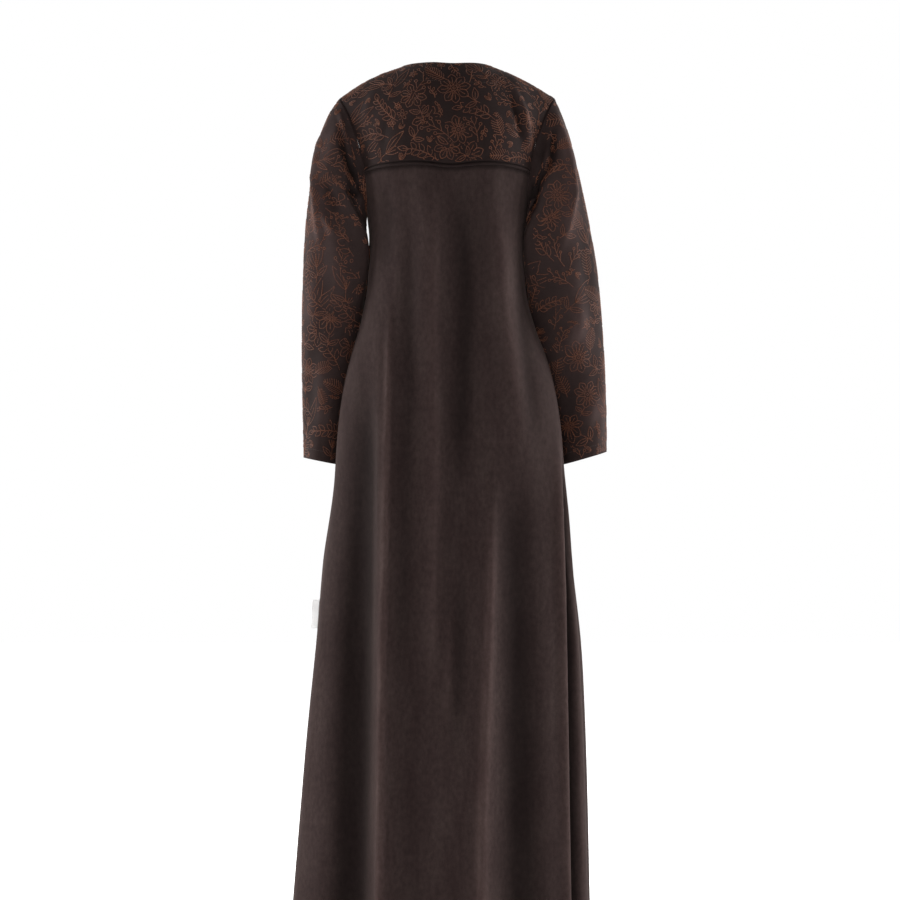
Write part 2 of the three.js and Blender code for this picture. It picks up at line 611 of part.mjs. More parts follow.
function sleeve(side) {
  const rows = range(SLEEVE_RINGS + 1).map((ring) => {
    const at = (ring / SLEEVE_RINGS) ** 1.15;
    return range(ARMHOLE_POINTS).map((i) => {
      const angle = -side * i * armholeStep;
      const onSleeve = sleevePoint(side, angle, at);
      if (ring === 0) onSleeve.x += side * SEAM_GAP;
      return onSleeve;
    });
  });
  return clothWall(rows, true, (r, c) => (r === 0 ? armholeOut(side, -side * c * armholeStep) : null));
}

// The label is a folded ribbon that stands out of the side seam.
function label() {
  const above = sheetPoint("back", 1, LABEL.z + LABEL.height / 2);
  const below = sheetPoint("back", 1, LABEL.z - LABEL.height / 2);
  const geometry = new THREE.BoxGeometry(LABEL.stands, LABEL.thick, LABEL.height);
  geometry.translate(LABEL.stands / 2 + SEAM_GAP, 0, 0);
  geometry.rotateY(-Math.atan((below.x - above.x) / LABEL.height));
  geometry.translate((above.x + below.x) / 2, 0, LABEL.z);
  return geometry;
}

const suede = { color: 0x33272a, roughness: 0.85, metalness: 0 };
const embroidered = { color: 0x3a2a25, roughness: 0.75, metalness: 0 };
const satin = { color: 0xe8e6e2, roughness: 0.6, metalness: 0 };

const abaya = new THREE.Group();
function addPiece(name, geometry, look) {
  const piece = new THREE.Mesh(geometry, new THREE.MeshStandardMaterial(look));
  piece.name = name;
  abaya.add(piece);
}

addPiece("back_panel", backPanel(), suede);
addPiece("back_yoke", backYoke(), embroidered);
addPiece("front_left", frontPanel(1), suede);
addPiece("front_right", frontPanel(-1), suede);
addPiece("sleeve_left", sleeve(1), embroidered);
addPiece("sleeve_right", sleeve(-1), embroidered);
addPiece("side_label", label(), satin);

export default abaya;
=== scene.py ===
import math
import random

import bpy
import numpy as np
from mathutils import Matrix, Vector


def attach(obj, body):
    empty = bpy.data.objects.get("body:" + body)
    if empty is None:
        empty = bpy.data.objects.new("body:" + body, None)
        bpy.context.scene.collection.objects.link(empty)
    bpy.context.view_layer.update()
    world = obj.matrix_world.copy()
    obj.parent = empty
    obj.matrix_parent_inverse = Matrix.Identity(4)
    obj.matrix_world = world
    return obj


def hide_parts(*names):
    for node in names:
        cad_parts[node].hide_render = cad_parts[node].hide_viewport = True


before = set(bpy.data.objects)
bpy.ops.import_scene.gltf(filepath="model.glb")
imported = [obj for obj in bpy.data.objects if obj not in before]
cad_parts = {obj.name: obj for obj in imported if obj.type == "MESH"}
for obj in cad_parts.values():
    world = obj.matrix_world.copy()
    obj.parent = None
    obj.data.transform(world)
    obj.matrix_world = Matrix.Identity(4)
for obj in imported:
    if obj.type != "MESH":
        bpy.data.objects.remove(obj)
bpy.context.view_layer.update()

# Lengths are in millimetres until a mesh is made. The garment's front faces -Y and its own left is +X.
# Bearings round the body are seen from above: 0 is the centre back and 90 the left side.
MM = 0.001

CLOTH = 1.2
SEAM_GAP = 0.3
# The side and shoulder seams, where both edges have the same corners, lie closer.
SEWN_GAP = 0.01
HEM_Z = -1480
FRONT_LAP = 20
LAP_STEP = 2.1
LAP_BLEND = 70
SQUARENESS = 0.12

SHOULDER_TIP = (188, -5, -40)
UNDERARM = (140, 0, -246)
ARMHOLE_HALF_DEPTH = 46
ARMHOLE_BOW = 15
SEAM_LEAN_ABOVE = 0.45
SEAM_LEAN_BELOW = 0.9
YOKE_CORNER = 107.5
YOKE_SEAM_RISE = 9.5
YOKE_SEAM_DIP = 6.2
YOKE_DIP_AT = -0.03
YOKE_DIP_WIDTH = 0.2
NECK_HALF_WIDTH = 80
NECK_Y = -10
NECK_Z = 14
NECK_BACK_DEPTH = 60
NECK_FRONT_DEPTH = 62
BACK_RIDGE = 34
FRONT_RIDGE = -55
SHOULDER_RISE = {1: 6.5, -1: 4}
SHOULDER_FULLNESS = 2.4
NECK_SHARE = 0.5

THREAD_WIDTH = 1.55
THREAD_HEIGHT = 0.55
SEWING_WIDTH = 0.8
SEWING_HEIGHT = 0.28

SIDES = {1: "left", -1: "right"}
EMBROIDERED_NODES = ("back_yoke", "sleeve_left", "sleeve_right")


def table(columns, rows):
    return [dict(zip(columns.split(), row)) for row in rows]


# The body's half widths and depths from the yoke seam down to the hem.
OUTLINE = table("z left right back front", [
    (-165, 141, 141, 103, 115),
    (-246, 140, 140, 104, 126),
    (-285, 136.5, 135.5, 104, 129),
    (-335, 139, 136, 103.5, 128),
    (-390, 145, 142.5, 103.5, 126),
    (-440, 156, 156, 105, 126),
    (-500, 173.5, 178.5, 109, 129),
    (-560, 187, 194, 114, 133),
    (-630, 196, 204, 120, 139),
    (-720, 203, 212, 128, 147),
    (-850, 217, 222, 140, 157),
    (-1000, 229, 234, 153, 168),
    (-1200, 246, 243, 171, 184),
    (-1480, 269, 250, 196, 206),
])

# Long soft folds, placed across the body. Each grows between start and full, fades between until and
# gone, and runs from x_top at the underarm to x_hem.
FOLDS = table("face x_top x_hem start full until gone height width", [
    ("back", 112, 110, -370, -700, -1600, -1700, 17, 19),
    ("back", 152, 168, -520, -1050, -1600, -1700, -24, 36),
    ("back", 34, 24, -120, -260, -650, -1150, 6, 24),
    ("back", -18, -14, -120, -260, -800, -1250, -7, 30),
    ("back", -84, -190, -120, -280, -480, -760, 7, 26),
    ("back", -84, -56, -560, -1250, -1600, -1700, 15, 22),
    ("back", -118, -112, -760, -1350, -1600, -1700, -12, 32),
    ("back", 66, 62, -640, -1250, -1600, -1700, -9, 26),
    ("front", 96, 150, -330, -900, -1600, -1700, 17, 26),
    ("front", 70, 100, -380, -900, -1600, -1700, -13, 26),
    ("front", 44, 52, -420, -1000, -1600, -1700, 12, 24),
    ("front", -52, -66, -360, -950, -1600, -1700, 15, 25),
    ("front", -80, -112, -400, -1000, -1600, -1700, -12, 27),
    ("front", -104, -160, -330, -850, -1600, -1700, 16, 26),
])

# Folds down the sides, placed by bearing. The first two are where the sleeves press in.
SIDE_FOLDS = table("bearing start full until gone height width", [
    (103, -300, -380, -700, -860, -15, 17),
    (-103, -300, -380, -700, -860, -15, 17),
    (-62, -560, -800, -1600, -1700, 12, 9),
    (-84, -600, -950, -1600, -1700, -27, 10),
    (-106, -760, -1050, -1600, -1700, 9, 12),
    (72, -700, -1200, -1600, -1700, 8, 10),
])

# Each sleeve from armhole to cuff: the outer line, the inner line, half the depth from front to back,
# the middle's y, how far the front and back curve in towards the body, and how far the inner back is
# tucked behind the body's side.
SLEEVE_COLUMNS = "at out_x out_z in_x in_z depth y bow tuck"
TIP_X, _, TIP_Z = SHOULDER_TIP
ARMHOLE_ROW = (0, TIP_X, TIP_Z, UNDERARM[0], UNDERARM[2], ARMHOLE_HALF_DEPTH, -2.5, ARMHOLE_BOW, 0)
SLEEVES = {
    1: table(SLEEVE_COLUMNS, [
        ARMHOLE_ROW,
        (0.07, 206.5, -68, 141, -258, 56, -1, 8, 0),
        (0.18, 223, -116, 141, -278, 61, -2, 2, 5),
        (0.3, 238, -187, 140.5, -304, 62, -3, 0, 41),
        (0.42, 248, -262, 142, -342, 60, -8, 0, 49),
        (0.54, 252.5, -335, 144.5, -392, 58, -14, 0, 30),
        (0.66, 255, -415, 151, -452, 57, -21, 0, 0),
        (0.78, 256, -500, 166, -525, 56, -28, 0, 0),
        (0.9, 255, -592, 182, -610, 56, -36, 0, 0),
        (1, 254, -669, 190, -682, 57, -42, 0, 0),
    ]),
    -1: table(SLEEVE_COLUMNS, [
        ARMHOLE_ROW,
        (0.07, 199, -67, 139.5, -258, 56, -1, 8, 2),
        (0.18, 215, -113, 138, -278, 61, -1, 0, 28),
        (0.3, 234, -190, 138.2, -304, 62, -3, 0, 46),
        (0.42, 249.5, -262, 139.5, -344, 60, -8, 0, 50),
        (0.54, 263, -338, 142, -394, 58, -14, 0, 32),
        (0.66, 271, -415, 150, -454, 57, -21, 0, 0),
        (0.78, 277, -500, 172.5, -527, 56, -28, 0, 0),
        (0.9, 281, -585, 192, -612, 56, -36, 0, 0),
        (1, 282, -659, 203, -682, 57, -42, 0, 0),
    ]),
}

# Folds of the sleeves. Angles run from the outer line towards the back.
SLEEVE_FOLDS = table("side round_upper round_lower upper lower height width", [
    (1, 52, 40, 0.05, 0.62, 6, 15),
    (1, 92, 135, 0.0, 0.3, -9, 16),
    (1, 60, 95, 0.34, 0.62, 5, 14),
    (1, 80, 30, 0.6, 1.0, -4, 20),
    (-1, 40, 62, 0.04, 0.5, 7, 15),
    (-1, 72, 128, 0.0, 0.3, -11, 17),
    (-1, 60, 80, 0.48, 0.8, 6, 15),
    (-1, 25, 60, 0.74, 1.02, 5, 16),
    (1, -60, -110, 0.02, 0.34, -8, 18),
    (-1, -60, -110, 0.02, 0.34, -8, 18),
    (1, -110, -60, 0.4, 0.75, 5, 20),
    (-1, -110, -60, 0.4, 0.75, 5, 20),
])

# Finer creases, drawn as lines on the side they are seen from, which is 1 for the back and -1 for the
# front: the line's places (x, z), the crease's height, and its width on its -X and +X sides.
CREASES = {
    ("back_panel", 1): table("line height low high", [
        ([(97, -380), (102, -620), (105, -800), (109, -1000), (113, -1480)], 9, 6, 5.5),
        ([(132, -480), (146, -1000), (158, -1480)], -8, 20, 26),
        ([(20, -180), (22, -420), (20, -700), (26, -1100)], 3.5, 10, 12),
        ([(60, -200), (64, -420), (72, -700), (76, -1100)], -4, 14, 14),
        ([(-26, -150), (-32, -420), (-20, -760)], -6, 17, 17),
        ([(-90, -190), (-100, -420), (-132, -660)], 3.5, 13, 11),
        ([(-122, -260), (-134, -460), (-160, -700)], -4, 12, 12),
        ([(-25, -820), (-22, -1040), (-14, -1180)], -4, 9, 10),
        ([(-6, -900), (-2, -1040), (0, -1150)], 3, 7, 9),
        ([(-80, -700), (-66, -1080), (-58, -1250), (-55, -1480)], 8, 9, 8),
        ([(-112, -640), (-124, -1100), (-130, -1480)], -7, 36, 26),
        ([(-190, -600), (-199, -900), (-206, -1480)], 6, 5, 8),
        ([(-203, -600), (-211, -900), (-219, -1480)], -15, 7, 5),
        ([(104, -170), (104, -260), (108, -380)], -3.5, 16, 16),
        ([(-62, -170), (-60, -260), (-64, -420)], -2, 10, 10),
    ]),
    ("back_yoke", 1): table("line height low high", [
        ([(-98, -10), (-115, -30), (-133, -68), (-142, -117), (-146, -170)], 7, 5, 8),
        ([(-106, -36), (-122, -80), (-131, -140)], -3.5, 7, 6),
        ([(96, -60), (108, -110), (112, -160)], -2, 9, 9),
        ([(-20, -110), (-26, -165)], -1.5, 10, 10),
        ([(120, -24), (138, -60), (146, -100)], 2.5, 8, 8),
        ([(30, -90), (52, -140)], 1.5, 12, 12),
    ]),
    ("sleeve_left", 1): table("line height low high", [
        ([(196, -58), (219, -122), (227, -184), (224, -245), (219, -330)], 5, 7, 10),
        ([(197, -58), (220, -122), (228, -184), (225, -245), (220, -330)], 6, 3.5, 4.5),
        ([(221, -232), (208, -262), (193, -291)], 6, 5, 8),
        ([(214, -180), (204, -214), (190, -250)], -4, 9, 9),
        ([(230, -350), (236, -412), (228, -446)], 5, 12, 12),
        ([(187, -76), (179, -135), (161, -178), (146, -206)], -9, 6, 6),
        ([(188, -60), (180, -105), (174, -135)], 4, 5, 5),
        ([(178, -208), (158, -212), (144, -215)], -6, 5, 5),
        ([(205, -470), (214, -560), (212, -650)], 3, 16, 16),
        ([(240, -500), (236, -600), (240, -668)], -3, 12, 12),
        ([(152, -188), (146, -218)], -6, 7, 7),
    ]),
    ("sleeve_right", 1): table("line height low high", [
        ([(-184, -46), (-194, -84), (-210, -158), (-217, -210), (-210, -268), (-192, -330)], 5, 10, 7),
        ([(-185, -46), (-195, -84), (-211, -158), (-218, -210), (-211, -268), (-193, -330)], 6, 4.5, 3.5),
        ([(-153, -184), (-147, -214), (-143, -248)], -9, 8, 9),
        ([(-188, -80), (-182, -150), (-153, -206)], -9, 6, 6),
        ([(-176, -128), (-166, -170), (-160, -196)], 4, 6, 6),
        ([(-233, -396), (-228, -440), (-210, -492)], 6, 12, 12),
        ([(-262, -550), (-245, -626)], 5, 12, 12),
        ([(-236, -250), (-243, -330), (-252, -420)], -3, 12, 12),
        ([(-205, -520), (-216, -600), (-214, -660)], -3, 14, 14),
    ]),
    ("sleeve_left", -1): table("line height low high", [
        ([(147, -285), (146, -350), (147, -390), (152, -440)], 8, 9, 9),
        ([(190, -70), (206, -140), (212, -230)], 5, 10, 10),
        ([(206, -330), (180, -372), (160, -396)], 6, 10, 10),
        ([(214, -368), (186, -408), (164, -428)], -5, 9, 9),
        ([(222, -440), (206, -540), (214, -640)], 4, 14, 14),
    ]),
    ("sleeve_right", -1): table("line height low high", [
        ([(-145, -285), (-143, -350), (-145, -390), (-150, -440)], 8, 9, 9),
        ([(-192, -70), (-208, -150), (-214, -240)], 5, 10, 10),
        ([(-214, -330), (-186, -366), (-158, -388)], 6, 10, 10),
        ([(-222, -366), (-192, -402), (-164, -424)], -5, 9, 9),
        ([(-240, -450), (-228, -540), (-240, -640)], 4, 14, 14),
    ]),
    ("front_left", -1): table("line height low high", [
        ([(104, -240), (96, -420), (110, -700)], 4, 14, 14),
        ([(70, -600), (78, -900), (92, -1480)], 5, 9, 13),
        ([(128, -700), (146, -1050), (168, -1480)], -5, 16, 16),
        ([(48, -90), (58, -170), (52, -300)], 2.5, 14, 14),
    ]),
    ("front_right", -1): table("line height low high", [
        ([(-98, -230), (-92, -420), (-118, -700)], 4, 13, 13),
        ([(-64, -560), (-80, -900), (-86, -1480)], -5, 13, 13),
        ([(-110, -640), (-132, -1000), (-150, -1480)], 5, 12, 9),
        ([(-46, -100), (-60, -180), (-54, -300)], 2.5, 14, 14),
    ]),
}

LABEL_Z = -943
LABEL_STANDS = 13
LABEL_HEIGHT = 50

YOKE_FOLD_TOP = -0.6
YOKE_FOLD_SEAM = -1.0
YOKE_FOLD_HEIGHT = 6
YOKE_FOLD_WIDTH = 0.085


def mix(start, end, share):
    return start + (end - start) * share


def smooth(share):
    share = np.clip(share, 0, 1)
    return share * share * (3 - 2 * share)


def hump(distance, width):
    return np.exp(-((distance / width) ** 2))


def unit(vectors):
    length = np.linalg.norm(vectors, axis=-1, keepdims=True)
    return vectors / np.maximum(length, 1e-9)


def stacked(x, y, z):
    return np.stack(np.broadcast_arrays(x, y, z), axis=-1).astype(float)


def cos_sin(angle):
    turn = np.radians(angle)
    return np.cos(turn), np.sin(turn)


def run_along(points):
    """The distance of each point from the first, along the line through them."""
    steps = np.linalg.norm(np.diff(points, axis=0), axis=-1)
    return np.concatenate([[0], np.cumsum(steps)])


def line_through(rows, along, column):
    """A smooth line through a table's rows: one column's value at a place along another column."""
    places = np.array([row[along] for row in rows], float)
    values = np.array([row[column] for row in rows], float)
    if places[-1] < places[0]:
        places, values = places[::-1], values[::-1]
    before = np.maximum(np.arange(len(places)) - 1, 0)
    after = np.minimum(np.arange(len(places)) + 1, len(places) - 1)
    slopes = (values[after] - values[before]) / (places[after] - places[before])

    def value(place):
        place = np.asarray(place, float)
        i = np.clip(np.searchsorted(places, place) - 1, 0, len(places) - 2)
        span = places[i + 1] - places[i]
        t = np.clip((place - places[i]) / span, 0, 1)
        start = values[i] * (1 + 2 * t) * (1 - t) ** 2 + slopes[i] * span * t * (1 - t) ** 2
        end = values[i + 1] * (3 - 2 * t) * t**2 - slopes[i + 1] * span * t**2 * (1 - t)
        return start + end

    return value


outline = {column: line_through(OUTLINE, "z", column) for column in ("left", "right", "back", "front")}
sleeve_lines = {
    side: {column: line_through(rows, "at", column) for column in SLEEVE_COLUMNS.split()[1:]}
    for side, rows in SLEEVES.items()
}


def across(angle):
    turn = np.radians(angle)
    return np.sin(turn) * (1 + SQUARENESS * np.cos(turn) ** 2)


def through(angle):
    turn = np.radians(angle)
    return np.cos(turn) * (1 + SQUARENESS * np.sin(turn) ** 2)


def halved(low, high, inside, steps=30):
    """Halves a span until it closes on the place where inside() turns false."""
    low = np.array(low, float)
    high = np.array(high, float)
    for _ in range(steps):
        middle = (low + high) / 2
        within = inside(middle)
        low = np.where(within, middle, low)
        high = np.where(within, high, middle)
    return low


def armhole_point(side, angle):
    """A point on the seam between sleeve and body: 0 at the shoulder tip, 90 at the back."""
    c, s = cos_sin(angle)
    middle = [(tip + under) / 2 for tip, under in zip(SHOULDER_TIP, UNDERARM)]
    half = [(tip - under) / 2 for tip, under in zip(SHOULDER_TIP, UNDERARM)]
    x = middle[0] + half[0] * c - ARMHOLE_BOW * s * s
    y = middle[1] + half[1] * c + ARMHOLE_HALF_DEPTH * s
    return stacked(side * x, y, middle[2] + half[2] * c)


def armhole_out(side, angle):
    half_height = (SHOULDER_TIP[2] - UNDERARM[2]) / 2
    c, s = cos_sin(angle)
    sideways = SEAM_LEAN_ABOVE * np.maximum(c, 0) + SEAM_LEAN_BELOW * np.maximum(-c, 0)
    return unit(stacked(side * sideways, s * half_height / ARMHOLE_HALF_DEPTH, c))


yoke_corner_z = float(armhole_point(1, YOKE_CORNER)[2])


def armhole_angle_at(z):
    middle = (SHOULDER_TIP[2] + UNDERARM[2]) / 2
    return np.degrees(np.arccos(np.clip((z - middle) / (SHOULDER_TIP[2] - middle), -1, 1)))


def edge_at(face, side, z):
    """Where the side seam or the armhole is at a height, as distances from the body's middle."""
    angle = armhole_angle_at(np.maximum(z, UNDERARM[2]))
    seam = armhole_point(1, angle if face == "back" else -angle)
    plain = np.where(side > 0, outline["left"](z), outline["right"](z))
    above = z > UNDERARM[2]
    return np.where(above, seam[..., 0], plain), np.where(above, np.abs(seam[..., 1]), 0)


def reach_at(face, z):
    _, edge_y = edge_at(face, 1, z)
    found = halved(np.zeros_like(z), np.full_like(z, 90), lambda a: outline[face](z) * through(a) > edge_y)
    return np.where(z <= UNDERARM[2], 90, found)


def fold_share(fold, z):
    growing = smooth((fold["start"] - z) / (fold["start"] - fold["full"]))
    fading = smooth((fold["until"] - z) / (fold["until"] - fold["gone"]))
    return growing * (1 - fading)


# Folds placed across the body die away towards the sides over this depth.
FOLD_CALM = 30


def fold_height(face, x, y, z, half_width, depth):
    bearing = np.degrees(np.arctan2(x / half_width, y / depth))
    down = (UNDERARM[2] - z) / (UNDERARM[2] - HEM_Z)
    height = np.zeros_like(x)
    for fold in FOLDS:
        if fold["face"] == face:
            distance = x - mix(fold["x_top"], fold["x_hem"], down)
            share = fold_share(fold, z) * smooth(np.abs(y) / FOLD_CALM)
            height += fold["height"] * share * hump(distance, fold["width"])
    for fold in SIDE_FOLDS:
        height += fold["height"] * fold_share(fold, z) * hump(bearing - fold["bearing"], fold["width"])
    return height


def sheet_point(face, share, z):
    """Points on the back or front at shares of the half width towards +X, up to the yoke seam."""
    share, z = np.broadcast_arrays(np.asarray(share, float), np.asarray(z, float))
    side = np.where(share < 0, -1, 1)
    sign = 1 if face == "back" else -1
    reach = reach_at(face, z)
    edge_x, _ = edge_at(face, side, z)
    depth = outline[face](z)
    x = edge_x * across(share * reach) / across(reach)
    y = sign * depth * through(share * reach)
    out = unit(stacked(x / edge_x**2, y / depth**2, 0))
    near_edge = np.where(z > UNDERARM[2], 1 - np.abs(share) ** 6, 1)
    lift = fold_height(face, x, y, z, edge_x, depth) * near_edge
    return stacked(x, y, z) + out * lift[..., None]


SEAM_STEP = 10


def side_seam_out(side, z):
    above = sheet_point("back", float(side), z + SEAM_STEP)
    below = sheet_point("back", float(side), z - SEAM_STEP)
    return unit(stacked(side * 2 * SEAM_STEP, 0, side * (below[..., 0] - above[..., 0])))


def yoke_seam_z(share):
    dip = YOKE_SEAM_DIP * hump(share - YOKE_DIP_AT, YOKE_DIP_WIDTH)
    return yoke_corner_z + YOKE_SEAM_RISE * (1 - share**2) - dip


def ridge_point(face, share):
    away = np.abs(share)
    tip = SHOULDER_TIP[0]
    straight = (NECK_HALF_WIDTH / tip - NECK_SHARE**2) / (NECK_SHARE - NECK_SHARE**2)
    x = tip * (straight * away + (1 - straight) * away**2)
    out = (x - NECK_HALF_WIDTH) / (tip - NECK_HALF_WIDTH)
    inside = np.maximum(1 - (x / NECK_HALF_WIDTH) ** 2, 0)
    dip = 0 if face == "back" else (FRONT_RIDGE - BACK_RIDGE) * inside**1.2
    to_neck = mix(NECK_Z, BACK_RIDGE, inside) + dip
    own_rise = np.where(share < 0, SHOULDER_RISE[-1], SHOULDER_RISE[1])
    rise = own_rise * np.sin(np.pi * out)
    z = np.where(out > 0, mix(NECK_Z, SHOULDER_TIP[2], out) + rise, to_neck)
    return stacked(np.sign(share) * x, mix(NECK_Y, SHOULDER_TIP[1], np.maximum(out, 0)), z)


def arch_point(low, ridge, turn):
    s = np.sin(np.radians(turn))
    flat = np.maximum(np.cos(np.radians(turn)), 0) ** (2 / SHOULDER_FULLNESS)
    x = mix(low[..., 0], ridge[..., 0], s**2)
    y = mix(ridge[..., 1], low[..., 1], flat)
    return stacked(x, y, mix(low[..., 2], ridge[..., 2], s ** (2 / SHOULDER_FULLNESS)))


def last_turn(face, low, ridge):
    depth = NECK_BACK_DEPTH if face == "back" else NECK_FRONT_DEPTH

    def outside(turn):
        at = arch_point(low, ridge, turn)
        return (at[..., 0] / NECK_HALF_WIDTH) ** 2 + ((at[..., 1] - NECK_Y) / depth) ** 2 > 1

    found = halved(np.zeros_like(low[..., 0]), np.full_like(low[..., 0], 90), outside)
    return np.where(np.abs(ridge[..., 0]) >= NECK_HALF_WIDTH - 1e-6, 90, found)


def upper_point(face, share_low, share_top, t):
    """Points above the yoke seam's height: t is 0 there and 1 at the neckline and shoulder seam."""
    low_z = yoke_seam_z(share_low) if face == "back" else np.full_like(share_low, yoke_corner_z)
    low = sheet_point(face, share_low, low_z)
    ridge = ridge_point(face, share_top)
    return arch_point(low, ridge, t * last_turn(face, low, ridge))


def shaped_upper_point(face, share_low, share_top, t):
    share_low, share_top = (np.asarray(share, float)[None, :] for share in (share_low, share_top))
    t = np.asarray(t, float)
    t = t[:, None] if t.ndim == 1 else t
    at = upper_point(face, share_low, share_top, t)
    angle = YOKE_CORNER * (1 - t)
    for side in (1, -1):
        seam = armhole_point(side, angle if face == "back" else -angle)
        own = upper_point(face, np.full((1, 1), float(side)), np.full((1, 1), float(side)), t)
        on_side = np.where(np.sign(share_low) == side, np.abs(share_low) ** 6, 0)
        at = at + (seam - own) * on_side[..., None]
    if face == "back":
        crest = mix(YOKE_FOLD_SEAM, YOKE_FOLD_TOP, t)
        lift = YOKE_FOLD_HEIGHT * np.sin(np.pi * np.clip(t, 0, 1)) ** 0.7
        at[..., 1] += lift * (1 - np.abs(share_low) ** 8) * hump(share_low - crest, YOKE_FOLD_WIDTH)
    return at


def sleeve_fold_height(side, angle, at):
    height = np.zeros(np.broadcast(angle, at).shape)
    for fold in SLEEVE_FOLDS:
        if fold["side"] == side:
            along = (at - fold["upper"]) / (fold["lower"] - fold["upper"])
            inside = np.clip(along, 0, 1)
            crest = mix(fold["round_upper"], fold["round_lower"], along)
            distance = (angle - crest + 180) % 360 - 180
            height = height + fold["height"] * np.sin(np.pi * inside) ** 0.8 * hump(distance, fold["width"])
    return height


def sleeve_point(side, angle, at):
    """Points on a sleeve: the angle runs as the armhole's does, and at is 0 there and 1 at the cuff."""
    line = {column: value(at) for column, value in sleeve_lines[side].items()}
    c, s = cos_sin(angle)
    centre = stacked((line["out_x"] + line["in_x"]) / 2, line["y"], (line["out_z"] + line["in_z"]) / 2)
    half_y = np.where(at == 0, (SHOULDER_TIP[1] - UNDERARM[1]) / 2, 0)
    half_x = (line["out_x"] - line["in_x"]) / 2
    half_z = (line["out_z"] - line["in_z"]) / 2
    inwards = -line["bow"] * s * s - line["tuck"] * np.maximum(s, 0) ** 2 * (1 - c) / 2
    spoke = stacked(half_x * c + inwards, half_y * c + line["depth"] * s, half_z * c)
    lift = sleeve_fold_height(side, angle, at)
    point = centre + spoke + unit(spoke) * lift[..., None]
    point[..., 0] *= side
    return point


def grid_out(points, closed=False):
    """Directions out of a grid whose columns run clockwise seen from above and whose rows run down."""
    if closed:
        along = np.roll(points, -1, axis=1) - np.roll(points, 1, axis=1)
    else:
        along = np.gradient(points, axis=1)
    down = np.gradient(points, axis=0)
    return unit(np.cross(along, down))


FADE_SHARE = 0.38
FADE_LEAST = 15
FADE_MOST = 190
FACING_FULL = 0.2


def crease_lift(points, out, crease, face):
    """How far one crease lifts each point. It fades towards the line's ends and round the sides.

    A line that reaches the hem runs on over it.
    """
    line = np.array(crease["line"], float)
    x, z = points[..., 0], points[..., 2]
    nearest = np.full(x.shape, 1e9)
    for start, end in zip(line[:-1], line[1:]):
        way = end - start
        t = np.clip(((x - start[0]) * way[0] + (z - start[1]) * way[1]) / (way @ way), 0, 1)
        gap_x = x - start[0] - way[0] * t
        gap_z = z - start[1] - way[1] * t
        width = np.where(gap_x < 0, crease["low"], crease["high"])
        nearest = np.minimum(nearest, np.hypot(gap_x, gap_z) / width)
    length = np.linalg.norm(line[-1] - line[0])
    reach = line[-1] - line[0]
    along = ((x - line[0, 0]) * reach[0] + (z - line[0, 1]) * reach[1]) / length**2
    fade = np.clip(FADE_SHARE, FADE_LEAST / length, FADE_MOST / length)
    ends = smooth(along / fade)
    if line[-1, 1] > HEM_Z:
        ends = ends * smooth((1 - along) / fade)
    facing = smooth(out[..., 1] * face / FACING_FULL)
    return crease["height"] * np.exp(-(nearest**2)) * ends * facing


# How far each point stands on a crest, from -1 in a hollow to 1. This is painted light and shade: the
# cloth's colour is lighter on the crests and darker in the hollows. A fold or crease as high as the number
# named here is a full crest.
painted_fold_shading = {}
BODY_FOLD_FULL = 38
SLEEVE_FOLD_FULL = 14
CREASE_FULL = 8


def body_painted_fold_shading(name, face, points):
    edge_x, _ = edge_at(face, np.sign(points[..., 0]), points[..., 2])
    depth = outline[face](points[..., 2])
    height = fold_height(face, points[..., 0], points[..., 1], points[..., 2], edge_x, depth)
    # The body's folds add a painted highlight on their crests and painted shade in their hollows.
    painted_fold_shading[name] = painted_fold_shading[name] + height / BODY_FOLD_FULL


def creased(name, points, inner, edges, closed=False):
    """Adds a piece's creases away from its seams. edges(out) sets the ways out along the seams."""
    out = edges(grid_out(points, closed))
    own = [(crease, key[1]) for key, rows in CREASES.items() for crease in rows if key[0] == name]
    lift = sum(crease_lift(points, out, crease, face) for crease, face in own) * inner
    # The creases' lifts also paint a highlight on their crests and shade in their hollows.
    painted_fold_shading[name] = lift / CREASE_FULL
    points = points + out * lift[..., None]
    return points, edges(grid_out(points, closed))


# Making the pieces.


def unrolled(points):
    """Where each grid point lies on the flat cloth, in mm across and down from the middle column's top.

    Every row is laid out by its own lengths and by the angles it makes with the columns it crosses.
    """
    down = unit(np.gradient(points, axis=0))
    middle = points.shape[1] // 2
    place = np.zeros((*points.shape[:2], 2))
    place[:, middle, 1] = run_along(points[:, middle])
    for sign, order in ((1, range(middle, points.shape[1] - 1)), (-1, range(middle, 0, -1))):
        column_heading = np.zeros(len(points))
        for here in order:
            there = here + sign
            step = points[:, there] - points[:, here]
            length = np.linalg.norm(step, axis=-1)
            way = step / np.maximum(length, 1e-9)[:, None]
            leaving = np.arccos(np.clip((way * down[:, here]).sum(-1), -1, 1))
            arriving = np.arccos(np.clip((way * down[:, there]).sum(-1), -1, 1))
            heading = column_heading + sign * leaving
            turn = np.stack([np.sin(heading), np.cos(heading)], axis=-1)
            place[:, there] = place[:, here] + length[:, None] * turn
            column_heading = heading - sign * arriving
    return place


def linked_mesh(name, vertices, faces, material):
    mesh = bpy.data.meshes.new(name)
    mesh.from_pydata(vertices, [], faces)
    mesh.materials.append(material)
    mesh.update()
    mesh.polygons.foreach_set("use_smooth", np.ones(len(mesh.polygons), dtype=bool))
    obj = bpy.data.objects.new(name, mesh)
    bpy.context.scene.collection.objects.link(obj)
    return obj


def sewn_on(obj, slot, node=None):
    """Lets a piece ride on the garment's body, in place of its solid if it has one. The slot is not used."""
    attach(obj, "root")
    if node:
        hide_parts(node)
    return obj


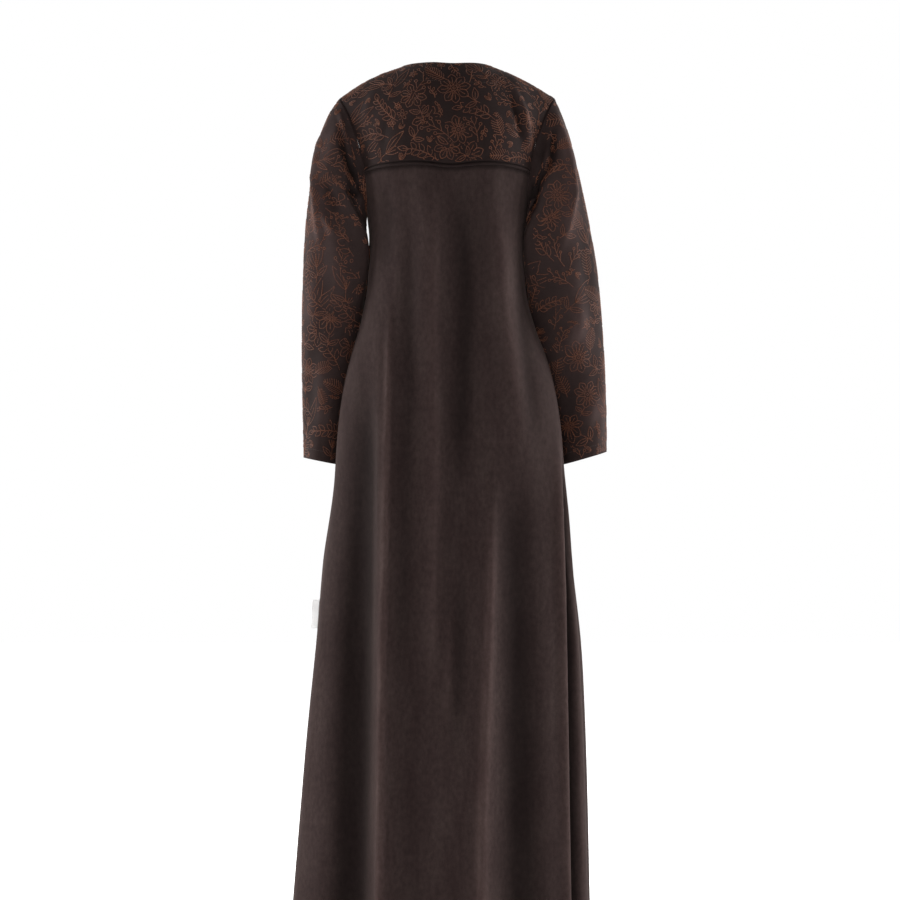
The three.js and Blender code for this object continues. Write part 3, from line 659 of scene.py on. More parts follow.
def shell_mesh(name, outer, out, thick, closed, material):
    """A thin shell of cloth on a grid of outer points. Its first UV map is the cloth's own flat place."""
    rows, columns = outer.shape[:2]
    inner = outer - out * thick
    vertices = np.concatenate([outer.reshape(-1, 3), inner.reshape(-1, 3)]) * MM
    spans = columns if closed else columns - 1
    opened = np.concatenate([outer, outer[:, :1]], axis=1) if closed else outer
    place = unrolled(opened) * MM

    def corners(width, low, wrap):
        r, c = np.meshgrid(np.arange(rows - 1), np.arange(spans), indexing="ij")
        after = (c + 1) % wrap
        a, b = r * width + c, r * width + after
        d, e = (r + 1) * width + c, (r + 1) * width + after
        faces = [np.stack([a, b, e, d], -1).reshape(-1, 4)]
        faces.append(np.stack([a + low, d + low, e + low, b + low], -1).reshape(-1, 4))
        k = np.arange(spans)
        after = (k + 1) % wrap
        last = (rows - 1) * width
        faces.append(np.stack([after, k, k + low, after + low], -1))
        faces.append(np.stack([last + k, last + after, last + after + low, last + k + low], -1))
        if not closed:
            k = np.arange(rows - 1) * width
            down = k + width
            faces.append(np.stack([k, down, down + low, k + low], -1))
            right = width - 1
            faces.append(np.stack([down + right, k + right, k + right + low, down + right + low], -1))
        return np.concatenate(faces)

    faces = corners(columns, rows * columns, columns)
    obj = linked_mesh(name, vertices.tolist(), faces.tolist(), material)
    spots = corners(opened.shape[1], 0, opened.shape[1] + 1)
    layer = obj.data.uv_layers.new(name="cloth")
    layer.data.foreach_set("uv", place.reshape(-1, 2)[spots.ravel()].ravel())
    return obj


def cloth_area(points):
    a, b, c, d = points[:-1, :-1], points[:-1, 1:], points[1:, 1:], points[1:, :-1]
    first = np.linalg.norm(np.cross(b - a, c - a), axis=-1)
    second = np.linalg.norm(np.cross(c - a, d - a), axis=-1)
    return float((first + second).sum() / 2) * MM**2


YOKE_COLUMNS = 180
YOKE_ROWS = 64
PANEL_COLUMNS = 150
PANEL_TOP_ROWS = 22
SKIRT_ROW_COUNT = 190
FRONT_COLUMNS = 66
SLEEVE_COLUMN_COUNT = 132
SLEEVE_ROWS = 170
LAP_COLUMNS = 8
MIDDLE_COLUMNS = FRONT_COLUMNS // 2 - LAP_COLUMNS
# Creases die away over these grid rows and columns beside the seams, and this far from the front lap.
CALM_ROWS = 8
CALM_COLUMNS = 7
SLEEVE_CALM_ROWS = 7
CALM_LAP = 22
SHOULDER_OUT = np.array([NECK_Z - SHOULDER_TIP[2], 0, SHOULDER_TIP[0] - NECK_HALF_WIDTH], float)


def skirt_heights():
    first = UNDERARM[2] - 3
    return np.concatenate([[first], np.linspace(first - 4, HEM_Z, SKIRT_ROW_COUNT)])


def armhole_heights():
    angles = np.linspace(YOKE_CORNER, 180, PANEL_TOP_ROWS)
    return angles, armhole_point(1, angles)[:, 2]


# The yoke's edge hangs over the panel: how far, how dark the painted shadow under it is, and how far down
# the panel's creases come in.
LIP_REACH = 4
LIP_SHADE = 1.2
CREASES_BELOW_LIP = 30


def back_panel_grid():
    shares = np.linspace(-1, 1, PANEL_COLUMNS + 1)
    angles, heights = armhole_heights()
    level = np.linspace(1, 0, PANEL_TOP_ROWS)[:, None]
    rise = (yoke_seam_z(shares) - yoke_corner_z) * level
    top = sheet_point("back", shares[None, :], heights[:, None] + rise)
    top[0, :, 2] -= SEAM_GAP / 2
    skirt_z = skirt_heights()
    skirt = sheet_point("back", shares[None, :], skirt_z[:, None])
    skirt[:, [0, -1], 1] += SEWN_GAP / 2
    points = np.concatenate([top, skirt])

    def edges(out):
        for column, side in ((0, -1), (-1, 1)):
            out[:PANEL_TOP_ROWS, column] = armhole_out(side, angles)
            out[PANEL_TOP_ROWS:, column] = side_seam_out(side, skirt_z)
        return out

    below = yoke_seam_z(shares) - LIP_REACH - points[..., 2]
    inner = (1 - np.abs(shares) ** 10)[None, :] * smooth(below / CREASES_BELOW_LIP)
    grid = creased("back_panel", points, inner, edges)
    body_painted_fold_shading("back_panel", "back", points)
    # Painted shadow on the panel under the yoke's hanging edge.
    painted_fold_shading["back_panel"] = painted_fold_shading["back_panel"] - LIP_SHADE * hump(below, LIP_REACH)
    return grid


# The yoke's lower edge is turned and sewn: distances above the seam, with how far the cloth stands out.
# A groove runs above the edge, and shade is painted into the cloth's colour in it and under the edge's tip.
LIP_ROWS = table("above stands", [
    (16, 0), (13, 0), (10.5, 0.1), (8.4, 0.35), (6.8, 0.7), (5.6, 0.8), (4.8, 0.6), (4.1, 0.1),
    (3.5, -0.5), (2.9, -0.8), (2.4, -0.5), (1.9, 0.4), (1.3, 1.2), (0.8, 1.8), (0.4, 2.2),
    (0.05, 2.5), (-0.9, 2.8), (-1.9, 2.8), (-2.7, 2.5), (-3.4, 1.9),
])
GROOVE_ABOVE = 2.9
GROOVE_WIDTH = 1.1
GROOVE_SHADE = 1.3
LIP_TIP = -2.2
LIP_TIP_SOFT = 1.2
YOKE_CREASES_ABOVE = (8, 20)
# The yoke's whole cloth is painted darker by this much, as painted shade.
YOKE_PAINTED_SHADE = 0.25
# The sleeves' whole cloth is painted lighter by this much, as painted light.
SLEEVE_PAINTED_LIGHT = 0.15
LIP_CLEAR = 0.3


def back_yoke_grid():
    shares = np.linspace(-1, 1, YOKE_COLUMNS + 1)
    above = np.array([row["above"] for row in LIP_ROWS if row["above"] > 0])[:, None]
    hanging = np.array([row["above"] for row in LIP_ROWS if row["above"] < 0])[:, None]
    low = sheet_point("back", shares, yoke_seam_z(shares))
    ridge = ridge_point("back", shares)
    rise = ridge[:, 2] - low[:, 2]
    turn = np.degrees(np.arcsin((above / rise) ** (SHOULDER_FULLNESS / 2)))
    near = turn / last_turn("back", low, ridge)
    upper = near[:1] + (1 - near[:1]) * np.linspace(1, 0, YOKE_ROWS, endpoint=False)[:, None] ** 1.1
    t = np.concatenate([upper, near])
    points = shaped_upper_point("back", shares, shares, t)
    shoulder = np.abs(shares) >= NECK_SHARE
    points[0, shoulder, 1] += SEWN_GAP / 2
    over = sheet_point("back", shares[None, :], yoke_seam_z(shares)[None, :] + hanging)
    points = np.concatenate([points, over])

    def edges(out):
        for side in (-1, 1):
            column = 0 if side < 0 else -1
            own = shoulder & (np.sign(shares) == side)
            out[0, own] = unit(SHOULDER_OUT * [side, 0, 1])
            out[: len(t), column] = armhole_out(side, YOKE_CORNER * (1 - t[:, column]))
            out[len(t):, column] = armhole_out(side, armhole_angle_at(over[:, column, 2]))
        return out

    rows = len(points)
    above_all = np.concatenate([np.full(YOKE_ROWS, 99.0), [row["above"] for row in LIP_ROWS]])[:, None]
    stands = np.concatenate([np.zeros(YOKE_ROWS), [row["stands"] for row in LIP_ROWS]])[:, None]
    stands = stands * (1 - 0.4 * np.abs(shares) ** 12)[None, :]
    from_top = smooth(np.arange(rows) / CALM_ROWS)[:, None]
    start, span = YOKE_CREASES_ABOVE
    inner = (1 - np.abs(shares) ** 10)[None, :] * from_top * smooth((above_all - start) / span)
    points, out = creased("back_yoke", points, inner, edges)
    # Painted shade in the groove and on the hanging tip of the edge, and over the whole yoke.
    groove = hump(above_all - GROOVE_ABOVE, GROOVE_WIDTH) + smooth((LIP_TIP - above_all) / LIP_TIP_SOFT)
    painted_fold_shading["back_yoke"] = painted_fold_shading["back_yoke"] - GROOVE_SHADE * groove - YOKE_PAINTED_SHADE
    thick = np.where(above_all > 0.1, CLOTH + stands, stands - LIP_CLEAR)
    return points + out * stands[..., None], out, thick[..., None]


def front_shares(lap):
    """Shares from the side to the lapped edge, for each row's lap."""
    lap = np.atleast_1d(lap)[:, None]
    outer = np.linspace(1, NECK_SHARE, FRONT_COLUMNS // 2, endpoint=False)[None, :]
    middle = NECK_SHARE + (lap - NECK_SHARE) * np.linspace(0, 1, MIDDLE_COLUMNS, endpoint=False)
    inner = lap * np.linspace(1, -1, LAP_COLUMNS + 1)
    return np.concatenate([np.repeat(outer, len(lap), axis=0), middle, inner], axis=1)


def lap_share_at(z):
    z = np.asarray(z, float)
    reach = reach_at("front", z)
    edge_x, _ = edge_at("front", 1, z)
    return FRONT_LAP * across(reach) / (edge_x * np.radians(reach) * (1 + SQUARENESS))


def front_grid(side):
    t = np.linspace(1, 0, YOKE_ROWS)[:-1]
    low = side * front_shares(lap_share_at(yoke_corner_z))[0]
    neck = side * front_shares(FRONT_LAP / NECK_HALF_WIDTH * NECK_SHARE)[0]
    upper = shaped_upper_point("front", low, neck, t)
    shoulder = np.abs(neck) >= NECK_SHARE - 1e-9
    upper[0, shoulder, 1] -= SEWN_GAP / 2
    angles, heights = armhole_heights()
    armhole = sheet_point("front", side * front_shares(lap_share_at(heights)), heights[:, None])
    skirt_z = skirt_heights()
    skirt = sheet_point("front", side * front_shares(lap_share_at(skirt_z)), skirt_z[:, None])
    skirt[:, 0, 1] -= SEWN_GAP / 2
    points = np.concatenate([upper, armhole, skirt])
    edge_angles = np.concatenate([YOKE_CORNER * (1 - t), angles])

    def edges(out):
        out = out if side > 0 else -out
        out[0, shoulder] = unit(SHOULDER_OUT * [side, 0, 1])
        out[: len(edge_angles), 0] = armhole_out(side, -edge_angles)
        out[len(edge_angles):, 0] = side_seam_out(side, skirt_z)
        return out

    if side > 0:
        near = smooth((LAP_BLEND - points[..., 0]) / (LAP_BLEND - FRONT_LAP))
        points = points - grid_out(points) * (LAP_STEP * near)[..., None]
    columns = np.arange(points.shape[1])[None, :]
    inner = smooth(columns / CALM_COLUMNS) * smooth(np.arange(len(points)) / CALM_ROWS)[:, None]
    inner = inner * smooth((np.abs(points[..., 0]) - FRONT_LAP) / CALM_LAP)
    name = f"front_{SIDES[side]}"
    plain = points
    points, out = creased(name, points, inner, edges)
    body_painted_fold_shading(name, "front", plain)
    if side < 0:
        painted_fold_shading[name] = painted_fold_shading[name][:, ::-1]
        points, out = points[:, ::-1], out[:, ::-1]
    return points, out


def sleeve_grid(side):
    at = (np.linspace(0, 1, SLEEVE_ROWS) ** 1.1)[:, None]
    angle = (180 - side * np.arange(SLEEVE_COLUMN_COUNT) * 360 / SLEEVE_COLUMN_COUNT)[None, :]
    points = sleeve_point(side, angle, at)
    points[0, :, 0] += side * SEAM_GAP

    def edges(out):
        out[0] = armhole_out(side, angle[0])
        return out

    inner = smooth(np.arange(SLEEVE_ROWS) / SLEEVE_CALM_ROWS)[:, None] * np.ones_like(angle)
    name = f"sleeve_{SIDES[side]}"
    grid = creased(name, points, inner, edges, closed=True)
    # Painted highlight on the sleeve folds' crests and painted shade in their hollows, and painted light
    # over the whole sleeve.
    painted_fold_shading[name] = painted_fold_shading[name] + sleeve_fold_height(side, angle, at) / SLEEVE_FOLD_FULL
    painted_fold_shading[name] += SLEEVE_PAINTED_LIGHT
    return grid


def cut_open(grid):
    """A closed grid cut open along its first column, with that column at both ends."""
    return tuple(np.concatenate([part, part[:, :1]], axis=1) for part in grid)


# Places on the cloth.


LOCATE_ROUNDS = 14
ON_CLOTH = 0.6


class Chart:
    """A piece's grid with its flat places, so that a drawing in mm can be laid on the cloth."""

    def __init__(self, points, out):
        self.points = points
        self.out = out
        self.place = unrolled(points)
        self.size = np.array(points.shape[:2])

    def sample(self, values, row, column):
        r = np.clip(row, 0, self.size[0] - 1.001)
        c = np.clip(column, 0, self.size[1] - 1.001)
        r0, c0 = r.astype(int), c.astype(int)
        fr, fc = (r - r0)[:, None], (c - c0)[:, None]
        upper = values[r0, c0] * (1 - fc) + values[r0, c0 + 1] * fc
        lower = values[r0 + 1, c0] * (1 - fc) + values[r0 + 1, c0 + 1] * fc
        return upper * (1 - fr) + lower * fr

    def locate(self, wanted):
        """Grid rows and columns of flat places, and which of them lie on the piece."""
        row = np.full(len(wanted), self.size[0] / 2.0)
        column = np.full(len(wanted), self.size[1] / 2.0)
        for _ in range(LOCATE_ROUNDS):
            here = self.sample(self.place, row, column)
            down = self.sample(self.place, row + 0.5, column) - self.sample(self.place, row - 0.5, column)
            along = self.sample(self.place, row, column + 0.5) - self.sample(self.place, row, column - 0.5)
            miss = wanted - here
            scale = along[:, 0] * down[:, 1] - along[:, 1] * down[:, 0]
            scale = np.where(np.abs(scale) < 1e-6, 1e-6, scale)
            column = column + (miss[:, 0] * down[:, 1] - miss[:, 1] * down[:, 0]) / scale
            row = row + (along[:, 0] * miss[:, 1] - along[:, 1] * miss[:, 0]) / scale
            column = np.clip(column, 0.5, self.size[1] - 1.5)
            row = np.clip(row, 0.5, self.size[0] - 1.5)
        gap = np.linalg.norm(wanted - self.sample(self.place, row, column), axis=1)
        return row, column, gap < ON_CLOTH


# Each stitch runs a little past its ends, and its foot and ends lie below the cloth's surface.
STITCH_OVERLAP = 0.06
STITCH_FOOT = 0.15
STITCH_END = 0.1


def stitch_mesh(name, segments, width, height, material, slot):
    """Stitches as small closed spindles. Each segment is its two ends and the way out of the cloth."""
    start, end, out = (np.array(part) for part in zip(*segments))
    along = end - start
    start = start - along * STITCH_OVERLAP
    along = along * (1 + 2 * STITCH_OVERLAP)
    side = unit(np.cross(out, along)) * width / 2
    rings = []
    for place in (0.2, 0.8):
        middle = start + along * place
        foot = out * STITCH_FOOT
        rings += [middle - side - foot, middle + side - foot, middle + out * height]
    low = out * STITCH_END
    vertices = np.stack([start - low, *rings, start + along - low], axis=1)
    faces = [(0, 2, 1), (0, 3, 2), (0, 1, 3), (7, 4, 5), (7, 5, 6), (7, 6, 4)]
    for a, b in ((1, 2), (2, 3), (3, 1)):
        faces += [(a, b, b + 3), (a, b + 3, a + 3)]
    faces = np.array(faces)[None] + (np.arange(len(start)) * 8)[:, None, None]
    vertices = (vertices.reshape(-1, 3) * MM).tolist()
    return sewn_on(linked_mesh(name, vertices, faces.reshape(-1, 3).tolist(), material), slot)


ROW_PITCH = 3.2


def sewn_run(chart, rows, columns, share=0.72):
    """Stitches along a line of grid places, each a share of the pitch long."""
    spots = chart.sample(chart.points, rows, columns)
    outs = unit(chart.sample(chart.out, rows, columns))
    run = run_along(spots)
    starts = np.arange(0, run[-1] - ROW_PITCH, ROW_PITCH)

    def along(values, wanted):
        return np.stack([np.interp(wanted, run, values[:, k]) for k in range(3)], axis=1)

    first, last = along(spots, starts), along(spots, starts + ROW_PITCH * share)
    return list(zip(first, last, unit(along(outs, starts + ROW_PITCH * share / 2))))


def level_run(chart, height):
    """A row of stitches at one height up from a piece's foot."""
    columns = np.arange(1, chart.size[1] - 1)
    rows = []
    for column in columns:
        run = run_along(chart.points[:, column])
        rows.append(np.interp(run[-1] - height, run, np.arange(len(run))))
    return sewn_run(chart, np.array(rows), columns.astype(float))


def upright_run(chart, inset):
    """A row of stitches beside a piece's first column."""
    rows = np.arange(1, chart.size[0] - 1)
    numbers = np.arange(chart.size[1])
    columns = [np.interp(inset, run_along(chart.points[row]), numbers) for row in rows]
    return sewn_run(chart, rows.astype(float), np.array(columns))


def resampled(line, pitch):
    run = run_along(line)
    count = max(int(round(run[-1] / pitch)), 1)
    wanted = np.linspace(0, run[-1], count + 1)
    return np.stack([np.interp(wanted, run, line[:, k]) for k in (0, 1)], axis=1)


# Embroidery motifs: lists of lines in mm, growing up from their own foot.


def bent(length, bend, steps=14, start=(0.0, 0.0), heading=0.0):
    """A stem that starts off at a heading from straight up and turns by bend degrees along its length."""
    t = np.linspace(0, 1, steps)
    turn = np.radians(heading + bend * t)
    step = length / (steps - 1)
    x = start[0] + np.concatenate([[0], np.cumsum(np.sin(turn[:-1]))]) * step
    y = start[1] + np.concatenate([[0], np.cumsum(np.cos(turn[:-1]))]) * step
    return np.stack([x, y], axis=1)


def leaf(foot, heading, length, width, rib=0.75, bend=12, fullness=0.85):
    spine = bent(length, bend, 13, foot, heading)
    t = np.linspace(0, 1, len(spine))
    way = unit(np.gradient(spine, axis=0))
    side = np.stack([way[:, 1], -way[:, 0]], axis=1)
    half = width / 2 * np.sin(np.pi * t**fullness)[:, None]
    lines = [spine + side * half, (spine - side * half)[::-1]]
    if rib:
        lines.append(spine[: max(int(len(spine) * rib), 2)])
    return lines


def compass(heading):
    turn = math.radians(heading)
    return np.array([math.sin(turn), math.cos(turn)])


def heading_of(step):
    way = unit(step)
    return math.degrees(math.atan2(way[0], way[1]))


def ring(middle, radius, step):
    turn = np.radians(np.arange(0, 361, step))
    return middle + radius * np.stack([np.sin(turn), np.cos(turn)], axis=1)


def long_leaves(dice):
    lines = [bent(26, -14, start=(0, 0), heading=8)]
    top = lines[0][-1]
    lines += leaf(top, -24, dice.uniform(48, 56), 14, bend=16)
    lines += leaf(top, 18, dice.uniform(42, 50), 13, bend=-10)
    lines += leaf(lines[0][6], 62, 26, 9, bend=-24)
    lines += leaf(lines[0][4], -66, 22, 8, bend=24)
    return lines


def leaf_spray(dice):
    stem = bent(dice.uniform(58, 72), dice.choice([-46, 44]), 20)
    lines = [stem]
    for k in range(3, 18, 2):
        heading = heading_of(stem[k + 1] - stem[k - 1])
        side = 1 if (k // 2) % 2 else -1
        lines += leaf(stem[k], heading + side * 52, 19 - k * 0.35, 7.5, rib=0, bend=-side * 24)
    lines += leaf(stem[-1], heading_of(stem[-1] - stem[-2]), 17, 8, rib=0.6)
    return lines


def flower_head(dice):
    lines = [bent(24, 16, heading=-8)]
    middle = lines[0][-1] + np.array([0, 22])
    petals = 8
    for k in range(petals):
        heading = k * 360 / petals + dice.uniform(-5, 5)
        foot = middle + 5.5 * compass(heading)
        lines += leaf(foot, heading, 20, 13, rib=0, bend=6, fullness=1.25)
        lines.append(bent(11, 4, 6, foot + 3 * compass(heading), heading))
    lines += [ring(middle, radius, 24) for radius in (2.2, 5.2)]
    lines += leaf(lines[0][5], 70, 22, 9, bend=-30)
    lines += leaf(lines[0][3], -74, 20, 8, bend=30)
    return lines


def fern_sprig(dice):
    stem = bent(dice.uniform(46, 58), dice.choice([-30, 34]), 24)
    lines = [stem]
    for k in range(3, 23, 2):
        heading = heading_of(stem[k] - stem[k - 1])
        reach = 12.5 * math.sin(math.pi * (k / 23) ** 0.7) + 2.5
        for side in (-1, 1):
            lines.append(bent(reach, -side * 14, 5, stem[k], heading + side * 62))
    return lines


def berry_branch(dice):
    stem = bent(dice.uniform(40, 52), dice.choice([-34, 30]), 16)
    lines = [stem]
    for k in range(4, 16, 2):
        heading = heading_of(stem[k] - stem[k - 1])
        side = 1 if (k // 2) % 2 else -1
        twig = bent(12, -side * 20, 6, stem[k], heading + side * 48)
        lines += [twig, ring(twig[-1] + unit(twig[-1] - twig[-2]) * 2.8, 2.8, 45)]
    return lines


def small_blossom(dice):
    lines = [bent(9, 12)]
    middle = lines[0][-1] + np.array([0, 8])
    petals = dice.choice([5, 6])
    for k in range(petals):
        heading = k * 360 / petals
        lines += leaf(middle + 2 * compass(heading), heading, 8.5, 6, rib=0, bend=0, fullness=1.2)
    return lines


def small_sprig(dice):
    stem = bent(24, dice.choice([-30, 30]), 10)
    lines = [stem]
    for k, side in ((2, 1), (4, -1), (6, 1)):
        lines += leaf(stem[k], side * 48, 11, 5, rib=0, bend=-side * 20)
    return lines + leaf(stem[-1], 0, 11, 5.5, rib=0)


def leaf_pair(dice):
    lines = leaf((0.0, 0.0), -30, dice.uniform(15, 20), 6, bend=14)
    return lines + leaf((0.0, 0.0), 26, dice.uniform(13, 18), 5.5, bend=-14)


BIG_MOTIFS = [long_leaves, flower_head, leaf_spray, fern_sprig, berry_branch]
SMALL_MOTIFS = [small_blossom, small_sprig, leaf_pair]
FILL_MOTIFS = SMALL_MOTIFS + [fern_sprig, berry_branch, leaf_spray]
STITCH_PITCH = 3.4
STITCH_SHORTEST = 0.8
STITCH_LONGEST = 2.2 * STITCH_PITCH
CELL = 3.0
MOST_STITCHES = 10500
PROBES = (0, 7)
LEAST_INSIDE = 0.45
BIG_TURN = 70
BIG_SCALE = (0.9, 1.15)
BIG_FREE = 0.5
SMALL_SCALE = (0.7, 1.05)
SMALL_FREE = 0.82
ROW_STEP = 0.87
FIRST_ROW = 0.6
JITTER = 0.16


def drawn_motif(shape, dice, foot, heading, scale):
    """A motif's stitches on the flat cloth, each as its two ends."""
    turn = math.radians(heading)
    spin = np.array([[math.cos(turn), math.sin(turn)], [-math.sin(turn), math.cos(turn)]])
    flip = dice.choice([-1, 1])
    lines = []
    for line in shape(dice):
        drawn = resampled(line * [flip, 1] * scale, STITCH_PITCH)
        lines.append(foot + (drawn @ spin) * [1, -1])
    return np.concatenate([np.stack([line[:-1], line[1:]], axis=1) for line in lines])


def motif_sites(low, high, spacing, dice):
    """Places for the big motifs, in staggered rows and a little off them."""
    row_step = spacing * ROW_STEP
    sites = []
    for j in range(int((high[1] - low[1]) / row_step) + 2):
        for i in range(int((high[0] - low[0]) / spacing) + 2):
            x = low[0] + (i + (j % 2) / 2) * spacing + dice.uniform(-JITTER, JITTER) * spacing
            y = low[1] + (j + FIRST_ROW) * row_step + dice.uniform(-JITTER, JITTER) * spacing
            sites.append((x, y))
    return sites


def embroidery(name, chart, seed, spacing, tries):
    """Scatters motifs over a piece of cloth so that none runs over another, and sews them."""
    dice = random.Random(seed)
    place = chart.place.reshape(-1, 2)
    low, high = place.min(axis=0), place.max(axis=0)
    taken = {}
    segments = []
    placed = []

    def is_taken(spot):
        return (int(spot[0] // CELL), int(spot[1] // CELL)) in taken

    def try_motif(shape, foot, heading, scale, spare):
        way = compass(heading) * [1, -1]
        if spare == SMALL_FREE and any(is_taken(foot + way * reach) for reach in PROBES):
            return
        ends = drawn_motif(shape, dice, foot, heading, scale)
        cells = [tuple(cell) for cell in np.floor(ends.mean(axis=1) / CELL).astype(int)]
        own = len(placed) + 1
        free = np.array([taken.get(cell, own) == own for cell in cells])
        if free.mean() < spare:
            return
        row, column, on_piece = chart.locate(ends.reshape(-1, 2))
        inside = on_piece.reshape(-1, 2).all(axis=1)
        if inside.mean() < LEAST_INSIDE:
            return
        spots = chart.sample(chart.points, row, column).reshape(-1, 2, 3)
        outs = unit(chart.sample(chart.out, row, column)).reshape(-1, 2, 3).mean(axis=1)
        length = np.linalg.norm(spots[:, 1] - spots[:, 0], axis=1)
        keep = np.flatnonzero(free & inside & (length > STITCH_SHORTEST) & (length < STITCH_LONGEST))
        placed.append(own)
        segments.extend((spots[k, 0], spots[k, 1], unit(outs[k])) for k in keep)
        for x, y in {cells[k] for k in keep}:
            for dx, dy in ((0, 0), (-1, 0), (1, 0), (0, -1), (0, 1)):
                taken.setdefault((x + dx, y + dy), own)

    for k, foot in enumerate(motif_sites(low, high, spacing, dice)):
        shape = BIG_MOTIFS[(k + dice.randrange(2)) % len(BIG_MOTIFS)]
        heading = dice.uniform(-BIG_TURN, BIG_TURN)
        try_motif(shape, np.array(foot), heading, dice.uniform(*BIG_SCALE), BIG_FREE)
    for _ in range(tries):
        foot = np.array([dice.uniform(low[0], high[0]), dice.uniform(low[1], high[1])])
        shape = dice.choice(FILL_MOTIFS)
        try_motif(shape, foot, dice.uniform(0, 360), dice.uniform(*SMALL_SCALE), SMALL_FREE)
        if len(segments) > MOST_STITCHES:
            break
    segments = segments[:MOST_STITCHES]
    return stitch_mesh(name, segments, THREAD_WIDTH, THREAD_HEIGHT, thread, "embroidered_cloth")


# Materials.

CLOTH_SPECULAR = 0.05
FLOOR_GLOW = 0.6


def nodes_of(name):
    made = bpy.data.materials.new(name)
    made.use_nodes = True
    tree = made.node_tree
    return made, tree, tree.nodes["Principled BSDF"]


def add_node(tree, kind, **values):
    made = tree.nodes.new(kind)
    for key, value in values.items():
        if key in made.inputs:
            made.inputs[key].default_value = value
        else:
            setattr(made, key, value)
    return made


def scaled(tree, vector, scale):
    mapping = add_node(tree, "ShaderNodeMapping", Scale=scale)
    tree.links.new(vector, mapping.inputs["Vector"])
    return mapping.outputs["Vector"]


def cloth_place(tree, across_scale, down_scale):
    """The flat cloth's own coordinates, scaled across and down."""
    uv = add_node(tree, "ShaderNodeUVMap", uv_map="cloth")
    return scaled(tree, uv.outputs["UV"], (across_scale, down_scale, 1))


def object_place(tree):
    return add_node(tree, "ShaderNodeTexCoord").outputs["Object"]


def noise(tree, place, detail, roughness):
    made = add_node(tree, "ShaderNodeTexNoise", Scale=1.0, Detail=detail, Roughness=roughness)
    tree.links.new(place, made.inputs["Vector"])
    return made.outputs["Fac"]


def wave(tree, place, **values):
    made = add_node(tree, "ShaderNodeTexWave", Scale=1.0, **values)
    tree.links.new(place, made.inputs["Vector"])
    return made.outputs["Fac"]


def ramp(tree, value, *stops):
    """Colours at places from 0 to 1. A single number stands for a grey."""
    made = add_node(tree, "ShaderNodeValToRGB")
    colours = [colour if isinstance(colour, tuple) else (colour,) * 3 for _, colour in stops]
    for element, k in zip(made.color_ramp.elements, (0, -1)):
        element.position = stops[k][0]
        element.color = (*colours[k], 1)
    for (position, _), colour in zip(stops[1:-1], colours[1:-1]):
        made.color_ramp.elements.new(position).color = (*colour, 1)
    tree.links.new(value, made.inputs["Fac"])
    return made.outputs["Color"]


def times(tree, first, second):
    made = add_node(tree, "ShaderNodeMix", data_type="RGBA", blend_type="MULTIPLY")
    made.inputs[0].default_value = 1
    tree.links.new(first, made.inputs[6])
    tree.links.new(second, made.inputs[7])
    return made.outputs[2]


def bumped(tree, shader, height, strength, distance):
    made = add_node(tree, "ShaderNodeBump", Strength=strength, Distance=distance)
    tree.links.new(height, made.inputs["Height"])
    tree.links.new(made.outputs["Normal"], shader.inputs["Normal"])


def from_signed(tree, value):
    """A value from -1 to 1 as one from 0 to 1."""
    spread = add_node(tree, "ShaderNodeMapRange", **{"From Min": -1, "From Max": 1})
    tree.links.new(value, spread.inputs["Value"])
    return spread.outputs["Result"]


def painted_fold_colour(tree, colour, hollow_shade, crest):
    """The colour with a painted highlight on the crests of the folds and painted shade in their hollows."""
    place = add_node(tree, "ShaderNodeAttribute", attribute_name="crest")
    shade = ramp(tree, from_signed(tree, place.outputs["Fac"]), (0, hollow_shade), (0.5, 1), (1, crest))
    return times(tree, colour, shade)


def brushed_cloth(tree, shader, colour, roughness, sheen, sheen_roughness, tint):
    tree.links.new(colour, shader.inputs["Base Color"])
    shader.inputs["Roughness"].default_value = roughness
    shader.inputs["Specular IOR Level"].default_value = CLOTH_SPECULAR
    shader.inputs["Sheen Weight"].default_value = sheen
    shader.inputs["Sheen Roughness"].default_value = sheen_roughness
    shader.inputs["Sheen Tint"].default_value = tint


def suede_material():
    made, tree, shader = nodes_of("suede")
    base = ramp(
        tree,
        noise(tree, cloth_place(tree, 26, 7), 5, 0.6),
        (0.3, (0.0205, 0.0126, 0.0118)),
        (0.52, (0.0255, 0.0164, 0.0152)),
        (0.74, (0.0310, 0.0208, 0.0190)),
    )
    mottled = ramp(tree, noise(tree, cloth_place(tree, 150, 90), 4, 0.6), (0.25, 0.72), (0.75, 1.22))
    grain = noise(tree, cloth_place(tree, 900, 700), 3, 0.7)
    grained = ramp(tree, grain, (0.3, 0.78), (0.7, 1.2))
    # Painted shade in the folds' hollows and a painted highlight on their crests.
    colour = painted_fold_colour(tree, times(tree, times(tree, base, mottled), grained), 0.42, 1.75)
    brushed_cloth(tree, shader, colour, 0.85, 0.045, 0.4, (0.9, 0.68, 0.62, 1))
    bumped(tree, shader, grain, 0.35, 0.0006)
    return made


def embroidered_material():
    made, tree, shader = nodes_of("embroidered_cloth")
    shade = noise(tree, cloth_place(tree, 18, 10), 4, 0.55)
    base = ramp(tree, shade, (0.3, (0.0140, 0.0086, 0.0080)), (0.7, (0.0210, 0.0134, 0.0126)))
    place = cloth_place(tree, 380, 380)
    warp = wave(tree, place, Distortion=1.5, Detail=2, bands_direction="DIAGONAL")
    woven = ramp(tree, warp, (0.1, 0.82), (0.9, 1.16))
    slubs = ramp(tree, noise(tree, cloth_place(tree, 90, 700), 3, 0.6), (0.3, 0.85), (0.7, 1.15))
    # Painted shade in the folds' hollows and a painted highlight on their crests.
    colour = painted_fold_colour(tree, times(tree, times(tree, base, woven), slubs), 0.4, 2.2)
    brushed_cloth(tree, shader, colour, 0.75, 0.04, 0.35, (0.95, 0.7, 0.62, 1))
    bumped(tree, shader, warp, 0.25, 0.0004)
    return made


